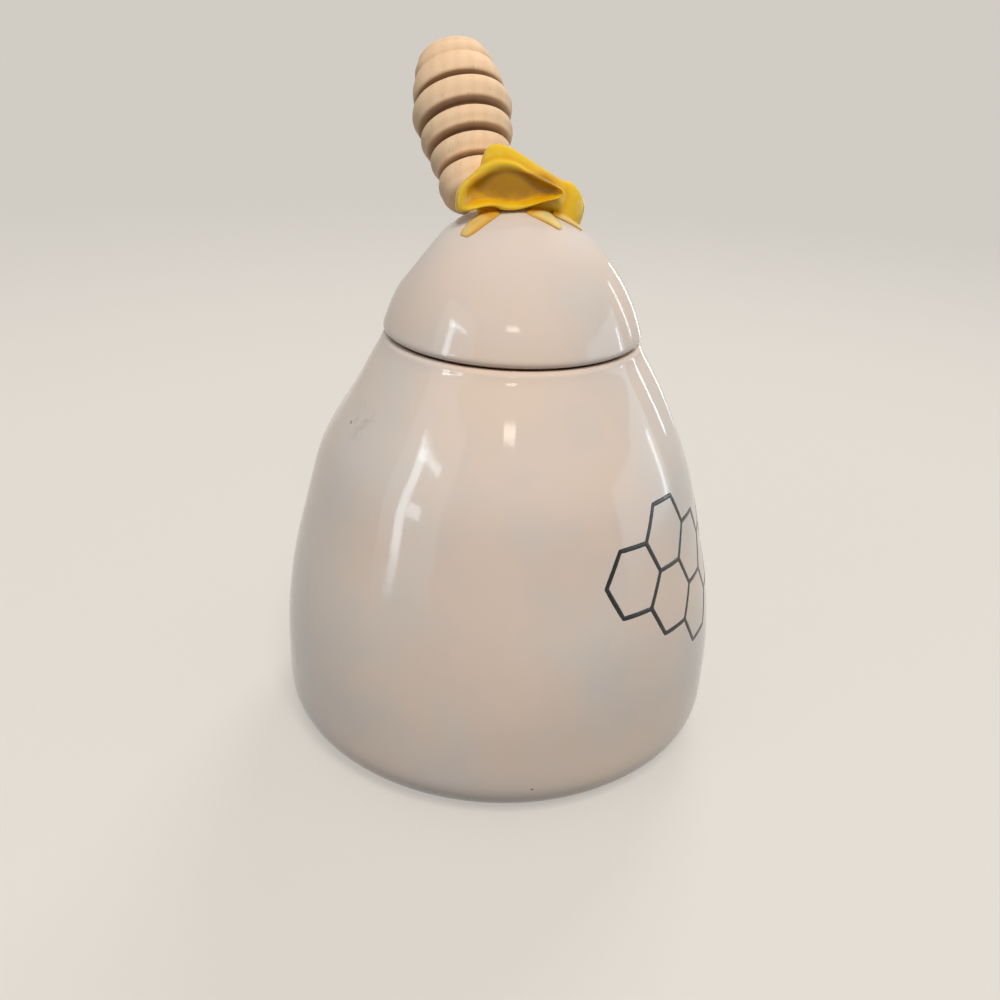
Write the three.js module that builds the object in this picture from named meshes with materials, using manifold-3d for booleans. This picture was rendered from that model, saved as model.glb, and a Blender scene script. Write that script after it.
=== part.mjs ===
// Honey pot: a hand-formed glazed pot, a domed lid that lifts off, a bee that sits on the lid,
// and a wooden dipper that leans through a hole in the lid with its ringed head outside.
// Millimetres, +Z up. The front of the pot faces -Y and the origin is the middle of its foot.

import * as THREE from 'three';
import { mergeVertices } from 'three/addons/utils/BufferGeometryUtils.js';
import Module from 'manifold-3d';

// Clearances between pieces that touch on the real object
const SEAT_GAP = 0.3;
const CUT_OVERRUN = 2;

// Pot
const POT_HEIGHT = 111.3;
const POT_RADIUS = 61.5;
const POT_WALL = 4.2;
const FLOOR_THICKNESS = 6.5;
const FOOT_ROUNDING = 12;
const FLOOR_ROUNDING = 9;
const LIP_BEYOND_LID = 0.3;
const LIP_ROUNDING = 1.3;

// Flattened front and thumb marks left in the clay: how deep each goes and how wide it spreads
const FLAT_FRONT_DEPTH = 1.4;
const FLAT_FRONT_SPREAD = 28;
const DEEP_MARK_DEPTH = 1.2;
const SMALL_MARK_SPREAD = 11;
const SOFT_MARK_DEPTH = 0.7;
const BROAD_MARK_SPREAD = 17;

// Lid
const LID_RADIUS = 34;
const LID_HEIGHT = 32.5;
const LID_WALL = 4.4;
const LID_EDGE_ROUNDING = 1.8;
const LOCATING_RING_DEPTH = 2.8;
const LOCATING_RING_WIDTH = 3.4;
const LOCATING_RING_PLAY = 0.6;
const LID_TURN = -106;
const LID_EDGE_TOP_ANGLE = -20;

// Hole in the lid, and the dipper that leans through it
const HOLE_RADIUS = 5.6;
const HOLE_BEARING = 142;
const DIPPER_BEARING = 110;
const HEAD_LENGTH = 43.4;
const HEAD_RADIUS = 12.9;
const GROOVE_DEPTH = 3.2;
const RING_EDGE = 0.4;
const SCORE_DEPTH = 0.4;
const END_ROUNDING = 2.2;
const UNDERSIDE_ROUNDING = 3;
const HANDLE_RADIUS = 3.25;
const HANDLE_TIP_ROUNDING = 2.2;
const SOCKET_DEPTH = 15;
const DIPPER_PLAY = 0.8;

// Bee, in the lid's own directions: it looks along +X with its right wing at -Y
const BEE_BODY_WIDTH = 8.4;
const BEE_BODY_LENGTH = 20;
const BEE_BODY_RISE = 16.6;
const BEE_BODY_START = -8.9;
const BEE_BODY_OFFSET = -4.1;
const BEE_HEAD_LENGTH = 9.8;
const BEE_HEAD_WIDTH = 8;
const BEE_HEAD_HEIGHT = 14.8;
const BEE_HEAD_REACH = 11.5;
const BEE_HEAD_SIDE = 2.6;
const BEE_HEAD_DROP = 1.5;
const WING_LENGTH = 25.7;
const WING_HEIGHT = 11.9;
const WING_THICKNESS = 2.4;
const WING_EDGE = 0.8;
const WING_START = -15.1;
const WING_SIDE = -6.5;
const WING_TURN = 6;
const WING_FOOT_DROP = 1.3;
const LEFT_WING_LENGTH = 12;
const LEFT_WING_HEIGHT = 10;
const LEFT_WING_START = 1;
const LEFT_WING_SIDE = 1.2;
const LEFT_WING_TURN = 20;
const LEFT_WING_DROP = 3.8;
const SCOOP_DEPTH = 1.9;
const LEG_WIDTH = 3.4;
const LEG_THICKNESS = 1.8;

// How finely the round shapes are divided
const POT_SIDES = 56;
const DIPPER_SIDES = 28;
const HANDLE_SIDES = 20;
const BEE_SIDES = 16;
const BEE_RINGS = 9;
const LEG_SIDES = 8;
const LEG_RINGS = 6;
const WING_STEPS = 2;
const ARC_STEPS = 4;
const WALL_STEPS = 12;
const DOME_STEPS = 12;
const REST_PASSES = 3;
const SLOPE_STEP = 0.1;

// Outer wall of the pot: share of the rise from the foot rounding to the lip, and share of the
// width from the lip out to the belly
const POT_WALL_SHARES = [[0, 1], [0.08, 1], [0.2, 0.988], [0.36, 0.915], [0.54, 0.763],
  [0.72, 0.585], [0.87, 0.289], [1, 0]];

// Thumb marks: bearing in degrees, share of the pot's height, depth and spread
const MARK_SHARES = [
  [-106, 0.55, FLAT_FRONT_DEPTH, FLAT_FRONT_SPREAD],
  [-106, 0.77, DEEP_MARK_DEPTH, SMALL_MARK_SPREAD],
  [-104, 0.16, DEEP_MARK_DEPTH, SMALL_MARK_SPREAD],
  [74, 0.83, DEEP_MARK_DEPTH, SMALL_MARK_SPREAD],
  [150, 0.36, SOFT_MARK_DEPTH, BROAD_MARK_SPREAD],
  [196, 0.2, SOFT_MARK_DEPTH, BROAD_MARK_SPREAD],
  [20, 0.5, SOFT_MARK_DEPTH, BROAD_MARK_SPREAD],
  [-40, 0.68, SOFT_MARK_DEPTH, BROAD_MARK_SPREAD],
  [-15, 0.16, DEEP_MARK_DEPTH, SMALL_MARK_SPREAD],
];

// The hole's distance from the lid's axis and how far across the lid the dipper leans, as shares
// of the lid's radius, and how far across the pot its handle reaches, as a share of the pot's
const HOLE_OFFSET_SHARE = 0.3588;
const LEAN_REACH_SHARE = 0.8252;
const HANDLE_REACH_SHARE = 0.83;

// Shape of the lid's dome: powers of the curve from its rim to its top
const DOME_RISE_POWER = 1.32;
const DOME_WIDTH_POWER = 2.2;

// Dipper head: share of the head's length, and share of its largest radius
const HEAD_BARREL_SHARES = [[0, 0.67], [0.09, 0.72], [0.2, 0.73], [0.345, 0.86], [0.48, 0.945],
  [0.62, 1], [0.76, 0.91], [0.9, 0.79], [1, 0.68]];

// Where each ring of the head starts and ends, as shares of the head's length
const RING_SHARES = [[0, 0.177], [0.205, 0.32], [0.36, 0.472], [0.521, 0.659], [0.705, 0.862]];

// Bee's body from tail to head: shares of its length, its shift to the left, height of its back
// and its width
const BEE_BODY_SHARES = [[0, 0, 0.34, 0.34], [0.08, 0, 0.76, 0.53], [0.2, 0, 1, 0.65],
  [0.36, 0.03, 0.94, 0.76], [0.6, 0.14, 0.68, 1], [0.85, 0.32, 0.46, 0.9], [1, 0.38, 0.3, 0.5]];

// Outline of a wing: shares of its length and its height
const WING_OUTLINE_SHARES = [[0, 0.42], [0.05, 0.02], [0.22, 0.06], [0.43, 0], [0.61, 0.08],
  [0.83, 0.24], [1, 0.45], [0.82, 0.66], [0.63, 0.86], [0.49, 1], [0.34, 0.98], [0.17, 0.74]];

// Hollow scooped out of each wing: place and size, as shares of the wing's length and height
const SCOOP_PLACE_SHARES = [0.46, 0.5];
const SCOOP_SIZE_SHARES = [0.37, 0.33];

// Legs on the dome: each root's and tip's distance from the lid's axis as a share of the lid's
// radius, with its bearing in degrees
const LEG_SHARES = {
  leg_right_rear: [[0.25, -135], [0.5, -136]],
  leg_right_middle: [[0.18, -46], [0.4, -43]],
  leg_right_front: [[0.28, -9], [0.46, -8]],
  leg_left_rear: [[0.15, 75], [0.5, 100]],
  leg_left_middle: [[0.16, 42], [0.47, 60]],
  leg_left_front: [[0.3, 10], [0.5, 25]],
};

// Swelling of a leg from its root to its tip
const LEG_SWELL_SHARES = [0.5, 0.87, 1, 0.87, 0.5];

const RAD = Math.PI / 180;
const LIP_RADIUS = LID_RADIUS + LIP_BEYOND_LID;
const MOUTH_RADIUS = LIP_RADIUS - POT_WALL;
const HOLE_OFFSET = LID_RADIUS * HOLE_OFFSET_SHARE;
const DIPPER_LEAN = Math.atan2(LID_RADIUS * LEAN_REACH_SHARE, LID_HEIGHT) / RAD;
const HANDLE_LENGTH = POT_RADIUS * HANDLE_REACH_SHARE / Math.sin(DIPPER_LEAN * RAD);

const wasm = await Module();
wasm.setup();

// Surface finishes

const glaze = (color) => new THREE.MeshStandardMaterial({ color, roughness: 0.12, metalness: 0 });
const WHITE_GLAZE = glaze(0xe9e4de);
const YELLOW_GLAZE = glaze(0xf0b91c);
const BEECH = new THREE.MeshStandardMaterial({ color: 0xe0b98f, roughness: 0.7, metalness: 0 });

// Closed meshes and solids

// Merges shared corners, drops triangles without area and turns the faces outwards.
function closed(geometry) {
  geometry.deleteAttribute('normal');
  geometry.deleteAttribute('uv');
  const merged = mergeVertices(geometry);
  const index = merged.getIndex().array;
  const kept = [];
  for (let i = 0; i < index.length; i += 3) {
    const [a, b, c] = index.slice(i, i + 3);
    if (a !== b && b !== c && c !== a) kept.push(a, b, c);
  }
  merged.setIndex(signedVolume(merged, kept) < 0 ? kept.reverse() : kept);
  return merged;
}

function signedVolume(geometry, index) {
  const place = geometry.getAttribute('position');
  const corner = (i) => new THREE.Vector3().fromBufferAttribute(place, index[i]);
  let sum = 0;
  for (let i = 0; i < index.length; i += 3) sum += corner(i).dot(corner(i + 1).cross(corner(i + 2)));
  return sum;
}

function solid(geometry) {
  const body = closed(geometry);
  const vertProperties = new Float32Array(body.getAttribute('position').array);
  const triVerts = new Uint32Array(body.getIndex().array);
  return new wasm.Manifold(new wasm.Mesh({ numProp: 3, vertProperties, triVerts }));
}

function geometryOf(body) {
  const cut = body.getMesh();
  const geometry = new THREE.BufferGeometry();
  geometry.setAttribute('position', new THREE.BufferAttribute(cut.vertProperties.slice(), 3));
  geometry.setIndex([...cut.triVerts]);
  return geometry;
}

function piece(name, geometry, material) {
  const ready = geometry.clone();
  ready.computeVertexNormals();
  const mesh = new THREE.Mesh(ready, material);
  mesh.name = name;
  return mesh;
}

// Turned shapes: an outline of [radius, height] points, spun round the Z axis
function turned(outline, sides) {
  const points = outline.map(([radius, height]) => new THREE.Vector2(radius, height));
  return new THREE.LatheGeometry(points, sides).rotateX(90 * RAD);
}

// Points of a quarter round about a centre, from one angle to another in degrees
function roundEdge([centreRadius, centreHeight], rounding, from, to) {
  const steps = Array.from({ length: ARC_STEPS + 1 }, (_, i) => from + (to - from) * i / ARC_STEPS);
  return steps.map((angle) => [centreRadius + rounding * Math.cos(angle * RAD),
    centreHeight + rounding * Math.sin(angle * RAD)]);
}

function at(distance, bearing, height) {
  return new THREE.Vector3(distance * Math.cos(bearing * RAD), distance * Math.sin(bearing * RAD),
    height);
}

// Pot

function wallOutline(inset, bottom) {
  const low = FOOT_ROUNDING;
  const top = POT_HEIGHT - LIP_ROUNDING;
  const knots = POT_WALL_SHARES.map(([rise, width]) => new THREE.Vector2(
    LIP_RADIUS + (POT_RADIUS - LIP_RADIUS) * width - inset, low + (top - low) * rise));
  const points = new THREE.SplineCurve(knots).getSpacedPoints(WALL_STEPS);
  return points.map(({ x, y }) => [x, y]).filter(([, height]) => height >= bottom);
}

// Presses the thumb marks into the wall, less and less towards the axis.
function handFormed(geometry) {
  const place = geometry.getAttribute('position');
  for (let i = 0; i < place.count; i += 1) {
    const distance = Math.hypot(place.getX(i), place.getY(i));
    const bearing = Math.atan2(place.getY(i), place.getX(i));
    let press = 0;
    for (const [markBearing, heightShare, depth, spread] of MARK_SHARES) {
      const turn = Math.sin((bearing - markBearing * RAD) / 2) * 2;
      const away = Math.hypot(turn * distance, place.getZ(i) - heightShare * POT_HEIGHT);
      press += depth * Math.exp(-((away / spread) ** 2));
    }
    const hold = 1 - press * distance / (POT_RADIUS * POT_RADIUS);
    place.setXYZ(i, place.getX(i) * hold, place.getY(i) * hold, place.getZ(i));
  }
  return geometry;
}

function pot() {
  const floorEdge = POT_RADIUS - POT_WALL - FLOOR_ROUNDING;
  const floorTop = FLOOR_THICKNESS + FLOOR_ROUNDING;
  const lipTop = POT_HEIGHT - LIP_ROUNDING;
  const outline = [
    [0, 0],
    ...roundEdge([POT_RADIUS - FOOT_ROUNDING, FOOT_ROUNDING], FOOT_ROUNDING, -90, 0),
    ...wallOutline(0, FOOT_ROUNDING).slice(1, -1),
    ...roundEdge([LIP_RADIUS - LIP_ROUNDING, lipTop], LIP_ROUNDING, 0, 90),
    ...roundEdge([MOUTH_RADIUS + LIP_ROUNDING, lipTop], LIP_ROUNDING, 90, 180),
    ...wallOutline(POT_WALL, floorTop).slice(0, -1).reverse(),
    ...roundEdge([floorEdge, floorTop], FLOOR_ROUNDING, 0, -90),
    [0, FLOOR_THICKNESS],
  ];
  return piece('pot_body', closed(handFormed(turned(outline, POT_SIDES))), WHITE_GLAZE);
}

// Lid

// Height of the dome above the lid's rim, at a distance from the lid's axis
function domeHeight(distance) {
  const width = Math.min(distance / LID_RADIUS, 1) ** DOME_WIDTH_POWER;
  return LID_HEIGHT * (1 - width) ** (1 / DOME_RISE_POWER);
}

// Direction straight out of the dome at a spot beside its axis
function domeNormal({ x, y }) {
  const distance = Math.hypot(x, y);
  const fall = (domeHeight(distance) - domeHeight(distance + SLOPE_STEP)) / SLOPE_STEP;
  return new THREE.Vector3(x / distance * fall, y / distance * fall, 1);
}

function domeOutline(radius, height, from) {
  const outline = [];
  for (let i = 0; i <= DOME_STEPS; i += 1) {
    const angle = 90 * RAD * i / DOME_STEPS;
    const width = i === DOME_STEPS ? 0 : Math.cos(angle) ** (2 / DOME_WIDTH_POWER);
    outline.push([radius * width, height * Math.sin(angle) ** (2 / DOME_RISE_POWER)]);
  }
  return outline.filter(([, rise]) => rise > from);
}

function lid() {
  const ringOuter = MOUTH_RADIUS - LOCATING_RING_PLAY;
  const ringInner = ringOuter - LOCATING_RING_WIDTH;
  const taper = LOCATING_RING_DEPTH * Math.tan(DIPPER_LEAN * RAD);
  const tip = (LOCATING_RING_WIDTH - taper) / 2;
  const outline = [
    [ringOuter, 0],
    ...roundEdge([LID_RADIUS - LID_EDGE_ROUNDING, LID_EDGE_ROUNDING], LID_EDGE_ROUNDING, -90,
      LID_EDGE_TOP_ANGLE),
    ...domeOutline(LID_RADIUS, LID_HEIGHT, LID_EDGE_ROUNDING),
    ...domeOutline(ringInner, LID_HEIGHT - LID_WALL, LID_EDGE_ROUNDING).reverse(),
    ...roundEdge([ringInner + tip, tip - LOCATING_RING_DEPTH], tip, 180, 360),
  ];
  return solid(turned([...outline, outline[0]], POT_SIDES));
}

// The lid's outer shape without its hollow, grown by the gap that a piece on it keeps
function lidBlock() {
  const outline = [[0, 0], [LID_RADIUS + SEAT_GAP, 0],
    ...domeOutline(LID_RADIUS + SEAT_GAP, LID_HEIGHT + SEAT_GAP, 0)];
  return solid(turned(outline, POT_SIDES));
}

// Dipper, standing on its own axis with the underside of its head at zero

function barrelRadius(height) {
  const share = height / HEAD_LENGTH;
  const next = Math.max(1, HEAD_BARREL_SHARES.findIndex(([rise]) => rise >= share));
  const [low, narrow] = HEAD_BARREL_SHARES[next - 1];
  const [high, wide] = HEAD_BARREL_SHARES[next];
  return HEAD_RADIUS * THREE.MathUtils.mapLinear(share, low, high, narrow, wide);
}

// Middle of the rounding under the head's lowest ring
function undersideEdge() {
  return [barrelRadius(UNDERSIDE_ROUNDING) - UNDERSIDE_ROUNDING, UNDERSIDE_ROUNDING];
}

function dipperHead() {
  const socket = HANDLE_RADIUS + SEAT_GAP;
  const outline = [[0, SOCKET_DEPTH], [socket, SOCKET_DEPTH], [socket, 0],
    ...roundEdge(undersideEdge(), UNDERSIDE_ROUNDING, -90, 0)];
  RING_SHARES.forEach(([start, end], ring) => {
    const [bottom, top] = [HEAD_LENGTH * start, HEAD_LENGTH * end];
    if (ring > 0) {
      outline.push([barrelRadius(bottom) - GROOVE_DEPTH, bottom],
        [barrelRadius(bottom) - RING_EDGE, bottom],
        [barrelRadius(bottom + RING_EDGE), bottom + RING_EDGE]);
    }
    if (ring < RING_SHARES.length - 1) {
      outline.push([barrelRadius(top - RING_EDGE), top - RING_EDGE],
        [barrelRadius(top) - RING_EDGE, top], [barrelRadius(top) - GROOVE_DEPTH, top]);
    } else {
      outline.push([barrelRadius(top - SCORE_DEPTH), top - SCORE_DEPTH],
        [barrelRadius(top) - SCORE_DEPTH, top], [barrelRadius(top + SCORE_DEPTH), top + SCORE_DEPTH]);
    }
  });
  const edge = HEAD_LENGTH - END_ROUNDING;
  outline.push(...roundEdge([barrelRadius(edge) - END_ROUNDING, edge], END_ROUNDING, 0, 90),
    [0, HEAD_LENGTH]);
  return piece('dipper_head', closed(turned(outline, DIPPER_SIDES)), BEECH);
}

function dipperHandle() {
  const top = SOCKET_DEPTH - SEAT_GAP;
  const tip = [HANDLE_RADIUS - HANDLE_TIP_ROUNDING, HANDLE_TIP_ROUNDING - HANDLE_LENGTH];
  const outline = [[0, -HANDLE_LENGTH], ...roundEdge(tip, HANDLE_TIP_ROUNDING, -90, 0),
    [HANDLE_RADIUS, top], [0, top]];
  return piece('dipper_handle', closed(turned(outline, HANDLE_SIDES)), BEECH);
}

// How far up its axis the head has to be for its rounded underside to rest on the dome
function headRest(mouth, lean, quaternion) {
  let rise = 0;
  for (const [radius, height] of roundEdge(undersideEdge(), UNDERSIDE_ROUNDING, -90, 0)) {
    for (let side = 0; side < DIPPER_SIDES; side += 1) {
      const spot = at(radius, 360 * side / DIPPER_SIDES, height).applyQuaternion(quaternion).add(mouth);
      for (let pass = 0; pass < REST_PASSES; pass += 1) {
        const raised = spot.clone().addScaledVector(lean, rise);
        rise += Math.max(0, domeHeight(Math.hypot(raised.x, raised.y)) - raised.z) / lean.z;
      }
    }
  }
  return rise + SEAT_GAP;
}

// Puts something that stands on the dipper's axis in its place over the lid's hole.
function leanDipper(object) {
  const mouth = at(HOLE_OFFSET, HOLE_BEARING, domeHeight(HOLE_OFFSET));
  const lean = at(Math.sin(DIPPER_LEAN * RAD), DIPPER_BEARING, Math.cos(DIPPER_LEAN * RAD));
  object.quaternion.setFromUnitVectors(new THREE.Vector3(0, 0, 1), lean);
  const rise = headRest(mouth, lean, object.quaternion);
  object.position.copy(mouth).addScaledVector(lean, rise);
  object.updateMatrix();
  return object;
}

function dipperHole() {
  const length = LID_HEIGHT + LID_RADIUS;
  const drill = new THREE.CylinderGeometry(HOLE_RADIUS, HOLE_RADIUS, length, DIPPER_SIDES);
  drill.rotateX(90 * RAD);
  return solid(drill.applyMatrix4(leanDipper(new THREE.Object3D()).matrix));
}

// The room that the head sweeps when the dipper is drawn out along its own axis
function dipperPath() {
  const radius = HEAD_RADIUS + DIPPER_PLAY;
  const length = HEAD_LENGTH + HANDLE_LENGTH;
  const sweep = new THREE.CylinderGeometry(radius, radius, length, DIPPER_SIDES);
  sweep.rotateX(90 * RAD).translate(0, 0, length / 2 - DIPPER_PLAY);
  return solid(sweep.applyMatrix4(leanDipper(new THREE.Object3D()).matrix));
}

// Bee

const straightUp = () => new THREE.Vector3(0, 0, 1);

// A rounded body along a path; every stop gives its middle and its half sizes across and up.
function swelling(stops, sides, rings, grow, upwards = straightUp) {
  const path = new THREE.CatmullRomCurve3(stops.map(({ middle }) => middle));
  const sizes = new THREE.CatmullRomCurve3(stops.map(({ across, up }) => (
    new THREE.Vector3(across, up, 0))));
  const corners = [];
  const faces = [];
  for (let ring = 0; ring <= rings; ring += 1) {
    const share = ring / rings;
    const along = path.getTangent(share);
    const push = { 0: -grow, [rings]: grow }[ring] ?? 0;
    const middle = path.getPoint(share).addScaledVector(along, push);
    const side = upwards(middle).cross(along).normalize();
    const rise = along.clone().cross(side);
    const { x: across, y: up } = sizes.getPoint(share);
    for (let i = 0; i < sides; i += 1) {
      const turn = 2 * Math.PI * i / sides;
      const corner = middle.clone().addScaledVector(side, (across + grow) * Math.cos(turn));
      corners.push(corner.addScaledVector(rise, (up + grow) * Math.sin(turn)));
      const here = ring * sides + i;
      const next = ring * sides + (i + 1) % sides;
      if (ring < rings) faces.push(here, here + sides, next, next, here + sides, next + sides);
    }
  }
  const last = rings * sides;
  const [tail, nose] = [-1, 1].map((way) => {
    const { x: across } = sizes.getPoint(way < 0 ? 0 : 1);
    const end = path.getPoint(way < 0 ? 0 : 1);
    const along = path.getTangent(way < 0 ? 0 : 1);
    return corners.push(end.addScaledVector(along, way * (grow + across / 2))) - 1;
  });
  for (let i = 0; i < sides; i += 1) {
    const next = (i + 1) % sides;
    faces.push(tail, i, next, nose, last + next, last + i);
  }
  const geometry = new THREE.BufferGeometry().setFromPoints(corners);
  geometry.setIndex(faces);
  return solid(geometry);
}

function beeBody(grow) {
  const stops = BEE_BODY_SHARES.map(([along, left, rise, width]) => {
    const x = BEE_BODY_START + BEE_BODY_LENGTH * along;
    const y = BEE_BODY_OFFSET + BEE_BODY_LENGTH * left;
    const floor = domeHeight(Math.hypot(x, y)) - CUT_OVERRUN;
    const back = domeHeight(0) - CUT_OVERRUN + BEE_BODY_RISE * rise;
    const middle = new THREE.Vector3(x, y, (floor + back) / 2);
    return { middle, across: BEE_BODY_WIDTH * width / 2, up: (back - floor) / 2 };
  });
  return swelling(stops, BEE_SIDES, BEE_RINGS, grow);
}

function ellipsoid(middle, length, width, height, grow) {
  const ball = new THREE.SphereGeometry(1, BEE_SIDES, BEE_RINGS);
  ball.scale(length / 2 + grow, width / 2 + grow, height / 2 + grow);
  return solid(ball.translate(middle.x, middle.y, middle.z));
}

function beeHead(grow) {
  const middle = new THREE.Vector3(BEE_HEAD_REACH, BEE_HEAD_SIDE, LID_HEIGHT - BEE_HEAD_DROP);
  return ellipsoid(middle, BEE_HEAD_LENGTH, BEE_HEAD_WIDTH, BEE_HEAD_HEIGHT, grow);
}

// One wing, standing along X with its scooped face towards -Y, or +Y when it is mirrored
function wing({ length, height, corner, turn, mirrored }, grow) {
  const knots = WING_OUTLINE_SHARES.map(([along, up]) => (
    new THREE.Vector2(length * along, height * up)));
  const outline = new THREE.Shape().moveTo(knots[0].x, knots[0].y);
  outline.splineThru([...knots.slice(1), knots[0]]);
  const blade = new THREE.ExtrudeGeometry(outline, { depth: WING_THICKNESS, curveSegments: WING_STEPS,
    bevelEnabled: true, bevelSegments: WING_STEPS, bevelThickness: WING_EDGE + grow,
    bevelSize: WING_EDGE + grow, bevelOffset: -WING_EDGE });
  const [placeAlong, placeUp] = SCOOP_PLACE_SHARES;
  const [sizeAlong, sizeUp] = SCOOP_SIZE_SHARES;
  const middle = new THREE.Vector3(length * placeAlong, height * placeUp, WING_THICKNESS + WING_EDGE);
  const scoop = ellipsoid(middle, length * sizeAlong * 2, height * sizeUp * 2, SCOOP_DEPTH * 2, 0);
  const hollowed = grow > 0 ? solid(blade) : solid(blade).subtract(scoop);
  const side = mirrored ? -1 : 1;
  const shape = geometryOf(hollowed).rotateX(90 * RAD).scale(1, side, 1).rotateZ(turn * RAD);
  return solid(shape.translate(corner.x, corner.y, corner.z));
}

function rightWing(grow) {
  const corner = new THREE.Vector3(WING_START, WING_SIDE, LID_HEIGHT - WING_FOOT_DROP);
  return wing({ length: WING_LENGTH, height: WING_HEIGHT, corner, turn: WING_TURN }, grow);
}

function leftWing(grow) {
  const corner = new THREE.Vector3(LEFT_WING_START, LEFT_WING_SIDE, LID_HEIGHT - LEFT_WING_DROP);
  return wing({ length: LEFT_WING_LENGTH, height: LEFT_WING_HEIGHT, corner,
    turn: LEFT_WING_TURN, mirrored: true }, grow);
}

function leg([[rootShare, rootBearing], [tipShare, tipBearing]], grow) {
  const root = at(LID_RADIUS * rootShare, rootBearing, 0);
  const tip = at(LID_RADIUS * tipShare, tipBearing, 0);
  const stops = LEG_SWELL_SHARES.map((swell, i) => {
    const middle = root.clone().lerp(tip, i / (LEG_SWELL_SHARES.length - 1));
    middle.z = domeHeight(Math.hypot(middle.x, middle.y));
    return { middle, across: LEG_WIDTH * swell / 2, up: LEG_THICKNESS * swell / 2 };
  });
  return swelling(stops, LEG_SIDES, LEG_RINGS, grow, domeNormal);
}

function bee() {
  const joined = (solids) => solids.reduce((whole, next) => whole.add(next));
  const legs = joined(Object.values(LEG_SHARES).map((ends) => leg(ends, SEAT_GAP)));
  const wings = rightWing(SEAT_GAP).add(leftWing(SEAT_GAP));
  const shapes = {
    bee_wing_right: rightWing(0).subtract(legs),
    bee_wing_left: leftWing(0).subtract(legs),
    bee_body: beeBody(0).subtract(wings).subtract(legs),
    bee_head: beeHead(0).subtract(wings).subtract(legs).subtract(beeBody(SEAT_GAP)),
  };
  for (const [name, ends] of Object.entries(LEG_SHARES)) shapes[name] = leg(ends, 0);
  const keptFree = lidBlock().add(dipperPath());
  return Object.entries(shapes).map(([name, shape]) => (
    piece(name, geometryOf(shape.subtract(keptFree)), YELLOW_GLAZE)));
}

// The whole object

const honeyPot = new THREE.Group();
honeyPot.add(pot());

const lidGroup = new THREE.Group();
lidGroup.position.z = POT_HEIGHT + SEAT_GAP;
lidGroup.rotation.z = LID_TURN * RAD;
lidGroup.add(piece('lid', geometryOf(lid().subtract(dipperHole())), WHITE_GLAZE), ...bee());
honeyPot.add(lidGroup);

const dipper = leanDipper(new THREE.Group());
dipper.add(dipperHead(), dipperHandle());
lidGroup.add(dipper);

export default honeyPot;
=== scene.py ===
"""Honey pot: a hand-formed white glazed pot, a domed lid with a yellow glazed bee on it, and a
turned beech dipper that leans through the hole in the lid.

Metres, +Z up, in the frame of the CAD part: the front of the pot faces -Y and the origin is the
middle of its foot. Each piece is modelled where it belongs and rides on its CAD body.
"""

import logging
import random
from dataclasses import dataclass
from enum import Enum
from math import cos, hypot, pi, radians, sin, sqrt
from typing import Sequence

import bpy
import numpy as np
from mathutils import Matrix, Vector


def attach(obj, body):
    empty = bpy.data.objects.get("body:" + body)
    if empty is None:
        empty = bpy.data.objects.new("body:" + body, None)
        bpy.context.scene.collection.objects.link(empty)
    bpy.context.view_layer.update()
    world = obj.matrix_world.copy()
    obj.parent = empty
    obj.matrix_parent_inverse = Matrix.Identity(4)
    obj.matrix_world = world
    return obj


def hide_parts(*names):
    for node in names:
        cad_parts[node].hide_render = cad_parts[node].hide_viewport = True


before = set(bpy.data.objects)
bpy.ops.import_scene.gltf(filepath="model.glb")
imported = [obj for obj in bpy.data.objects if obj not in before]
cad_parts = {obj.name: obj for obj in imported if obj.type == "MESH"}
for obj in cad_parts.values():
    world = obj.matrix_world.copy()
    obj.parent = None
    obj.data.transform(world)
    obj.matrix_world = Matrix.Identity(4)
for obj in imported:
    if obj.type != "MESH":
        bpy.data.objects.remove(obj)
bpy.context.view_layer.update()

LOG = logging.getLogger("honey_pot")
MM = 0.001
CURVE_STEPS = 600
DOUBLED = 0.001 * MM
GLAZE_IOR = 1.5

# How much wider than its wanted spread the soft reach of a thumb mark is
MARK_REACH = 1.67

Material = bpy.types.Material
Obj = bpy.types.Object
Socket = bpy.types.NodeSocket
Pair = tuple[float, float]
Triple = tuple[float, float, float]
Colour = tuple[float, float, float, float]
Outline = list[Pair]

# A noise: features a metre, detail, and the two values that are stretched to 0 and 1
Noise = tuple[float, float, float, float]

# Bumps: features a metre, detail and depth
Bumps = tuple[float, float, float]


class Body(Enum):
    """The moving bodies of the CAD part."""

    POT = "pot"
    LID = "lid"
    DIPPER = "dipper"


class Slot(Enum):
    """The material slots of the part's record."""

    WHITE = "white_glaze"
    YELLOW = "yellow_glaze"
    WOOD = "beech"


def colour(red: int, green: int, blue: int) -> Colour:
    """Turn a screen colour into the linear one that Blender takes, by the standard sRGB curve.

    Args:
        red: Red, from 0 to 255.
        green: Green, from 0 to 255.
        blue: Blue, from 0 to 255.

    Returns:
        The linear colour with full opacity.
    """
    shares = [channel / 255 for channel in (red, green, blue)]
    linear = [s / 12.92 if s <= 0.04045 else ((s + 0.055) / 1.055) ** 2.4 for s in shares]
    return (*linear, 1.0)


# Curves and outlines


def catmull(points: Sequence[Sequence[float]], position: float) -> np.ndarray:
    """Find a spot on the smooth open curve through some points.

    Args:
        points: The points that the curve goes through.
        position: How far along the curve, from 0 to 1.

    Returns:
        The spot, with as many numbers as each point has.
    """
    spots = np.array(points, float)
    last = len(spots) - 1
    scaled = min(max(position, 0.0), 1.0) * last
    here = min(int(scaled), last - 1)
    share = scaled - here
    before, after = spots[max(here - 1, 0)], spots[min(here + 2, last)]
    start, end = spots[here], spots[here + 1]
    leave_by, arrive_by = (end - before) / 2, (after - start) / 2
    return (
        (2 * start - 2 * end + leave_by + arrive_by) * share**3
        + (3 * end - 3 * start - 2 * leave_by - arrive_by) * share**2
        + leave_by * share
        + start
    )


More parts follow.
